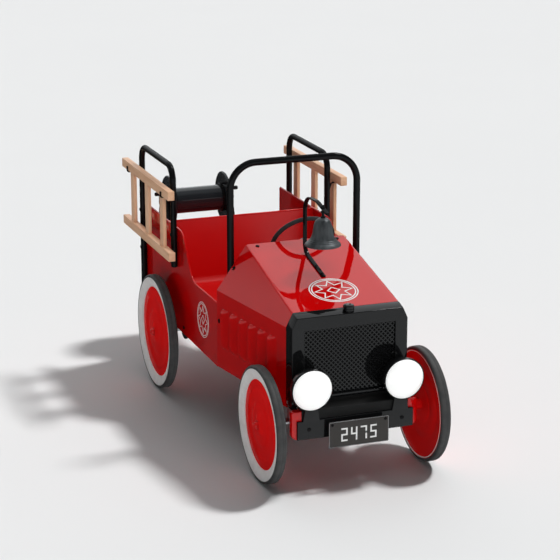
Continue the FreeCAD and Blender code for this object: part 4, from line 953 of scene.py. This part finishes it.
RACK_X, RACK_TOP = 194.5, 558.5
RACK_FRONT, RACK_REAR = 106, 366
RAIL_HEIGHT = 21.5
SLAT_STATIONS = (120, 244, 368)
for side, sign in SIDES:
    bm = bmesh.new()
    path = rounded([(sign * RACK_X, RACK_FRONT, 318), (sign * RACK_X, RACK_FRONT, RACK_TOP),
        (sign * RACK_X, RACK_REAR, RACK_TOP), (sign * RACK_X, RACK_REAR, 182)], [0, 36, 36, 0], 14)
    tube(bm, path, 7.4, 26)
    for y, z in ((RACK_FRONT, 330), (RACK_FRONT, 396), (RACK_REAR, 196), (RACK_REAR, 300),
            (RACK_REAR, 396)):
        pan_screw(bm, (sign * (RACK_X + 6.6), y, z), (sign, 0, 0), 4.4, 2.2)
    store(f"rack_tube_{side}", bm, TUBE, f"rack_{side}", smooth=50)

    low, high = box_mm(f"ladder_{side}")
    bm = bmesh.new()
    rails = ((low.z, low.z + RAIL_HEIGHT), (high.z - RAIL_HEIGHT, high.z))
    for bottom, top in rails:
        brick(bm, (low.x, low.y, bottom), (high.x, high.y, top))
    store(f"ladder_rails_{side}", bm, WOOD_Y, f"ladder_{side}", body=f"ladder_{side}", bevel=1.4,
        bevel_steps=3)
    bm = bmesh.new()
    middle = (low.x + high.x) / 2
    for y in SLAT_STATIONS:
        brick(bm, (middle - 4.2, y - 13.5, rails[0][1] - 3),
            (middle + 4.2, y + 13.5, rails[1][0] + 3))
    store(f"ladder_slats_{side}", bm, WOOD_Z, body=f"ladder_{side}", bevel=1.5, bevel_steps=3)
    bm = bmesh.new()
    for bottom, top in rails:
        for y in SLAT_STATIONS:
            pan_screw(bm, (middle + sign * 8.1, y, (bottom + top) / 2), (sign, 0, 0), 2.2, 0.8)
    store(f"ladder_pins_{side}", bm, WOOD_Y, body=f"ladder_{side}")

HOOK_STATIONS = ((RACK_FRONT, 102), (RACK_REAR, 386.5))
bm = bmesh.new()
for side, sign in SIDES:
    low, high = box_mm(f"ladder_{side}")
    outer = high.x if sign > 0 else -low.x
    bed = high.z - RAIL_HEIGHT - 2.2
    for leg, lip in HOOK_STATIONS:
        path = [(sign * (RACK_X + 5), lip, bed - 13), (sign * (RACK_X + 9), lip, bed),
            (sign * (outer + 2.6), lip, bed), (sign * (outer + 2.6), lip, bed + 13)]
        tube(bm, rounded(path, [0, 5, 5, 0], 5), 2.0, 12, dome=0.9)
        tube(bm, [(sign * (RACK_X + 6), leg, bed - 9), (sign * (RACK_X + 6), lip, bed - 9)], 2.0,
            12)
store("ladder_hook_rods", bm, TUBE, "ladder_hooks", smooth=50)


# ---- hose reel ----

REEL_LOW, REEL_HIGH = box_mm("hose_reel")
REEL_Y = (REEL_LOW.y + REEL_HIGH.y) / 2
REEL_Z = 366.0
reel_drum, reel_trim, reel_brackets = (bmesh.new() for _ in range(3))
lathe(reel_drum, [(-73, 33.2), (73, 33.2)], (0, REEL_Y, REEL_Z), (1, 0, 0), 72)
for side, sign in SIDES:
    face = (sign * 74, REEL_Y, REEL_Z)
    flange = [(-1.2, 8), (-1.2, 62), (-2.0, 64.5), (-1.0, 67.2), (1.4, 67.6), (3.2, 66.2),
        (2.6, 64), (1.4, 62), (1.4, 40), (3.0, 37), (3.0, 8)]
    lathe(reel_drum, flange, face, (sign, 0, 0), 80, closed=True)
    collar = [(-12, 33), (-12, 36.4), (-11, 37.6), (-6, 37.6), (-4.8, 36.6), (-4.8, 33)]
    lathe(reel_trim, collar, face, (sign, 0, 0), 72, closed=True)
    lathe(reel_trim, [(0, 0), (0, 7.9), (25.5, 7.9), (27, 6.6), (27, 0)], face, (sign, 0, 0), 32)
    arm = [(REEL_Y - 7, REEL_Z - 8), (REEL_Y + 7, REEL_Z - 8), (REEL_Y + 5.4, REEL_Z + 28),
        (REEL_Y - 5.4, REEL_Z + 28)]
    plate(reel_trim, rounded(arm, [6, 6, 5, 5], 6), "YZ", sign * 96.4, sign * 100.6)
    lathe(reel_trim, [(0, 0), (0, 4.8), (2, 5), (10.5, 5.2), (13, 4.4), (13.6, 2.4), (13.6, 0)],
        (sign * 100, REEL_Y, REEL_Z + 22), (sign, 0, 0), 28)
    arch = [(REEL_Y - 58, DECK_TOP + 0.2), (REEL_Y - 46, REEL_Z - 38), (REEL_Y - 28, REEL_Z + 16),
        (REEL_Y + 28, REEL_Z + 16), (REEL_Y + 46, REEL_Z - 38), (REEL_Y + 58, DECK_TOP + 0.2)]
    plate(reel_brackets, rounded(arch, [0, 30, 24, 24, 30, 0], 10), "YZ", sign * 86.3, sign * 89.8)
    brick(reel_brackets, (sign * 86.3, REEL_Y - 56, DECK_TOP + 0.1),
        (sign * 104, REEL_Y + 56, DECK_TOP + 3))
    for y in (REEL_Y - 40, REEL_Y + 40):
        hex_nut(reel_brackets, (sign * 97, y, DECK_TOP + 3), (0, 0, 1), 5.2, 3.6)
store("reel_spool", reel_drum, DRUM, "hose_reel", body="hose_reel", smooth=36)
store("reel_collars", reel_trim, BLACK, body="hose_reel", smooth=36)
store("reel_stands", reel_brackets, BLACK, "reel_brackets", bevel=0.8, smooth=34)


# ---- bell ----

BELL_LOW, BELL_HIGH = box_mm("bell")
BELL_Y = (BELL_LOW.y + BELL_HIGH.y) / 2
RIM_Z = BELL_LOW.z
BELL_BASE, UP = (0, BELL_Y, RIM_Z), (0, 0, 1)
bm = bmesh.new()
outside = [(0.0, 37.4), (0.0, 39.2), (1.4, 39.5), (3.6, 38.6), (6.4, 35.6), (9.8, 31.4),
    (14, 27.6), (20, 24.6), (28, 22.6), (36, 21.4), (44, 20.2), (50, 18.6), (55, 15.8),
    (58.6, 11.6), (60.4, 6.4), (61, 3.4), (61, 0)]
inside = [(57.4, 0), (56, 7), (52, 12.4), (46, 15.6), (36, 17.6), (24, 19.6), (15, 23.6),
    (9, 28.8), (4, 34.4), (1.0, 36.8)]
lathe(bm, outside, BELL_BASE, UP, 96)
lathe(bm, inside, BELL_BASE, UP, 96)
lathe(bm, [(1.0, 36.8), (0.0, 37.4)], BELL_BASE, UP, 96)
for height, radius in ((10.2, 31.3), (13.4, 28.3)):
    lathe(bm, [(height - 0.8, radius), (height, radius + 0.7), (height + 0.8, radius - 0.5)],
        BELL_BASE, UP, 96)
store("bell_casting", bm, BELL, "bell", smooth=50)

STRAP_TOP = box_mm("bell_bracket")[1].z
HOOD_SLOPE = (hood_top(HOOD_REAR) - hood_top(HOOD_FRONT)) / (HOOD_REAR - HOOD_FRONT)
strap_path = [(-364, hood_top(-364) + 1.9), (-300, hood_top(-300) + 1.9),
    (-249, hood_top(-249) + 3), (-249, STRAP_TOP - 3.4), (-322, STRAP_TOP - 1.2),
    (-380, STRAP_TOP - 14.4)]
strap_path = rounded(strap_path, [0, 30, 26, 42, 30, 0], 12)
store_plate("bell_strap", band_outline(strap_path, 1.75), "YZ", -4.6, 4.6, TUBE, "bell_bracket",
    bevel=0.6, smooth=34)
bm = bmesh.new()
lathe(bm, [(0, 2.9), (30, 2.9), (31, 2.2), (31, 0)], (0, BELL_Y, RIM_Z + 58), (0, 0, 1), 20)
hex_nut(bm, (0, BELL_Y, RIM_Z + 60.6), (0, 0, 1), 5.4, 4)
hex_nut(bm, (0, BELL_Y, RIM_Z + 72), (0, 0, 1), 5.4, 4)
hex_nut(bm, (0, BELL_Y, RIM_Z + 83.4), (0, 0, 1), 5.0, 3.6)
for y in (-352, -318):
    pan_screw(bm, (0, y, hood_top(y) + 3.4), (0, -HOOD_SLOPE, 1), 3.4, 2)
store("bell_bolts", bm, TUBE, slot="zinc_steel", smooth=30)
CLAPPER_PIVOT = (0, BELL_Y, box_mm("clapper")[1].z)
bm = bmesh.new()
ball = [(0, 0), (0.4, 1.8), (26, 1.8), (27, 2.4)]
ball += oval(32.6, 6.4, 6.4, (-66, -45, -22, 0, 22, 45, 68)) + [(39, 0)]
lathe(bm, ball, CLAPPER_PIVOT, (0, 0, -1), 32)
store("clapper_ball", bm, ZINC, "clapper", body="clapper", smooth=50)


# ---- steering ----

WHEEL_CENTRE = Vector((28, -160, 427))
COLUMN_TILT = radians(32)
WHEEL_RADIUS = 72
ACROSS = Vector((1, 0, 0))
TOWARDS_DRIVER = Vector((0, cos(COLUMN_TILT), sin(COLUMN_TILT)))
WHEEL_DOWN = Vector((0, sin(COLUMN_TILT), -cos(COLUMN_TILT)))
bm = bmesh.new()
tube(bm, circle(WHEEL_CENTRE, WHEEL_RADIUS, ACROSS, WHEEL_DOWN, 96), 5.0, 20, closed=True)
for step in range(24):
    angle = tau * (step + 0.5) / 24
    outward = ACROSS * cos(angle) + WHEEL_DOWN * sin(angle)
    spot = WHEEL_CENTRE + outward * WHEEL_RADIUS - TOWARDS_DRIVER * 4.5
    lathe(bm, [(0, 1.9), (1.0, 1.5), (1.3, 0)], spot, -TOWARDS_DRIVER, 8)
store("steering_rim", bm, GRIP, "steering_wheel", body="steering", smooth=60)
bm = bmesh.new()
hub_point = WHEEL_CENTRE - TOWARDS_DRIVER * 8
for direction in (ACROSS, -ACROSS, WHEEL_DOWN):
    start = hub_point + direction * 8
    end = WHEEL_CENTRE + direction * (WHEEL_RADIUS - 3) - TOWARDS_DRIVER
    bend = hub_point + direction * 26
    tube(bm, rounded([start, bend, end], [0, 18, 0], 6), lambda share: 3.9 - 1.0 * share, 14)
lathe(bm, [(-14, 10), (-12, 13), (-4, 13.4), (-2, 11.8), (-1, 6.5), (2.4, 6.0), (3.4, 4.2),
    (3.6, 0)], WHEEL_CENTRE, TOWARDS_DRIVER, 40)
store("steering_spokes", bm, SPOKE, body="steering", smooth=40)


# ---- badges ----

PAINT_LIFT = 0.3
HOOD_LINE, SIDE_LINE = 1.35, 0.7  # half the width of a line


def badge_lines(radius_wide, radius_high):
    """A plain roundel: two rings, an eight-rayed star between them and a diamond."""
    def loop(count, *reaches):
        """Points round the middle, whose distances go through reaches in turn."""
        shares = [reaches[k % len(reaches)] for k in range(count)]
        return [(share * radius_wide * cos(tau * k / count),
            share * radius_high * sin(tau * k / count)) for k, share in enumerate(shares)]

    return [loop(48, 1.0), loop(48, 0.90), loop(16, 0.80, 0.46), loop(4, 0.26)]


def line_strip(bm, loop, half, lift, to_world):
    """A closed painted line of even width, laid a hair above a surface."""
    points = [Vector(point) for point in loop]
    count = len(points)
    inner, outer = [], []
    for index, point in enumerate(points):
        ahead = (points[(index + 1) % count] - point).normalized()
        behind = (point - points[index - 1]).normalized()
        tangent = (ahead + behind).normalized()
        normal = Vector((-tangent.y, tangent.x))
        stretch = 1 / max(0.5, normal.dot(Vector((-ahead.y, ahead.x))))
        inner.append(point - normal * half * stretch)
        outer.append(point + normal * half * stretch)
    levels = ((inner, 0.0), (inner, lift), (outer, lift), (outer, 0.0))
    rings = [ring_of(bm, [to_world(p.x, p.y, height) for p in edge]) for edge, height in levels]
    for first, second in zip(rings, rings[1:]):
        bridge(bm, first, second)
    bridge(bm, rings[-1], rings[0])


def on_hood(u, v, height):
    """A badge point on the sloping hood top."""
    y = -420 + v
    return (u, y - HOOD_SLOPE * height, hood_top(y) + height)


bm = bmesh.new()
for loop in badge_lines(53, 48):
    line_strip(bm, loop, HOOD_LINE, PAINT_LIFT, on_hood)
store("hood_roundel", bm, WHITE, smooth=20)
for side, sign in SIDES:
    def on_side(u, v, height):
        """A badge point on this tub side."""
        return (sign * (TUB_HALF + height), -88 + u, 242 + v)

    bm = bmesh.new()
    for loop in badge_lines(41, 41):
        line_strip(bm, loop, SIDE_LINE, PAINT_LIFT, on_side)
    store(f"side_roundel_{side}", bm, WHITE, smooth=20)


# ---- body screws ----

bm = bmesh.new()
for side, sign in SIDES:
    pan_screw(bm, (sign * 95, -203, hood_top(-203) - 0.3), (0, -HOOD_SLOPE, 1), 4.6, 2.2)
    y = -201
    shoulder = Vector((hood_size("half", y), 0, hood_size("shoulder", y)))
    crown = Vector((hood_size("top_half", y), 0, hood_size("crown", y)))
    spot = shoulder.lerp(crown, 0.52)
    outward = Vector((crown.z - shoulder.z, 0, shoulder.x - crown.x)).normalized()
    pan_screw(bm, (sign * spot.x, y, spot.z), (sign * outward.x, 0, outward.z), 4.6, 2.2)
    pan_screw(bm, (sign * (hood_size("half", -201) - 0.2), -201, 273), (sign, 0, 0), 5.2, 2.6)
    for y, z in ((60, 178), (388, 300), (388, 190), (150, 200)):
        pan_screw(bm, (sign * (TUB_HALF - 0.1), y, z), (sign, 0, 0), 4.4, 2.2)
store("panel_screws", bm, TUBE, "body_screws", slot="zinc_steel", smooth=30)


# ---- chassis and running gear keep their CAD shape ----

CAD_FINISH = {
    BLACK: ("chassis_frame", "axle_hangers", "column_bracket", "pedal_right", "pedal_left"),
    ZINC: ("pedal_bar", "steering_column", "knuckle_right", "knuckle_left", "tie_rod",
           "rear_axle", "push_rod_right", "push_rod_left"),
    RED: ("front_axle", "dash_panel"), TUBE: ("tail_stays",),
}
for material, names in CAD_FINISH.items():
    for name in names:
        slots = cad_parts[name].data.materials
        slots.clear()
        slots.append(material)

PEDAL_PIVOT = Vector((0, -262, 335))
for side, sign in SIDES:
    bm = bmesh.new()
    pad_start, pad_end = sorted((sign * 69, sign * 129))
    swing = atan2(35, 196) * sign

    def tread_point(x, forward, down):
        """A point on the swung pedal: forward of its arm and down from its pivot."""
        turn = Matrix.Rotation(-swing, 3, "X")
        return PEDAL_PIVOT + turn @ Vector((x, forward, -down))

    for rib in range(5):
        down = 116 + rib * 12
        tube(bm, [tread_point(x, 8.2, down) for x in (pad_start, pad_end)], 2.0, 10)
    store(f"pedal_tread_{side}", bm, GRIP, body=f"pedal_{side}", smooth=60)


# ---- floor and backdrop, in metres ----

FLOOR_HALF = 40
FLOOR_DROP = 0.0006
BACKDROP_RADIUS, BACKDROP_TOP = 39, 30


def add_stage(name, bm, material, hidden_from):
    mesh = bpy.data.meshes.new(name)
    bm.to_mesh(mesh)
    bm.free()
    mesh.materials.append(material)
    stage = bpy.data.objects.new(name, mesh)
    for ray in hidden_from:
        setattr(stage, f"visible_{ray}", False)
    scene.collection.objects.link(stage)
    return stage


FLOOR = new_material("studio_floor", (0.74, 0.74, 0.74), 1.0, specular=0.0)
color_from(FLOOR.node_tree, noise_node(FLOOR.node_tree, 1.5, 2), (0.2, (0.738, 0.738, 0.738)),
    (0.8, (0.746, 0.746, 0.746)))
bm = bmesh.new()
bmesh.ops.create_grid(bm, x_segments=1, y_segments=1, size=FLOOR_HALF)
floor = add_stage("floor", bm, FLOOR, ["glossy"])
floor.location = (0, 0, -FLOOR_DROP)

BACKDROP = new_material("studio_backdrop", (0, 0, 0), 1.0, specular=0.0)
set_glow(BACKDROP, (0.84, 0.84, 0.84, 1), 1.0)
bm = bmesh.new()
lathe(bm, [(-1, BACKDROP_RADIUS), (BACKDROP_TOP, BACKDROP_RADIUS)], (0, 0, 0), (0, 0, 1), 128)
add_stage("backdrop", bm, BACKDROP, ["diffuse", "glossy", "transmission", "shadow"])

# The floor has a key light of its own, and no other lamp lights it.
floor_only = bpy.data.collections.new("floor_only")
floor_only.objects.link(floor)
key_on_floor.light_linking.receiver_collection = floor_only
all_but_floor = bpy.data.collections.new("all_but_floor")
all_but_floor.objects.link(floor)
all_but_floor.collection_objects[0].light_linking.link_state = "EXCLUDE"
for lamp in (key_on_car, front_fill):
    lamp.light_linking.receiver_collection = all_but_floor

bpy.context.view_layer.update()
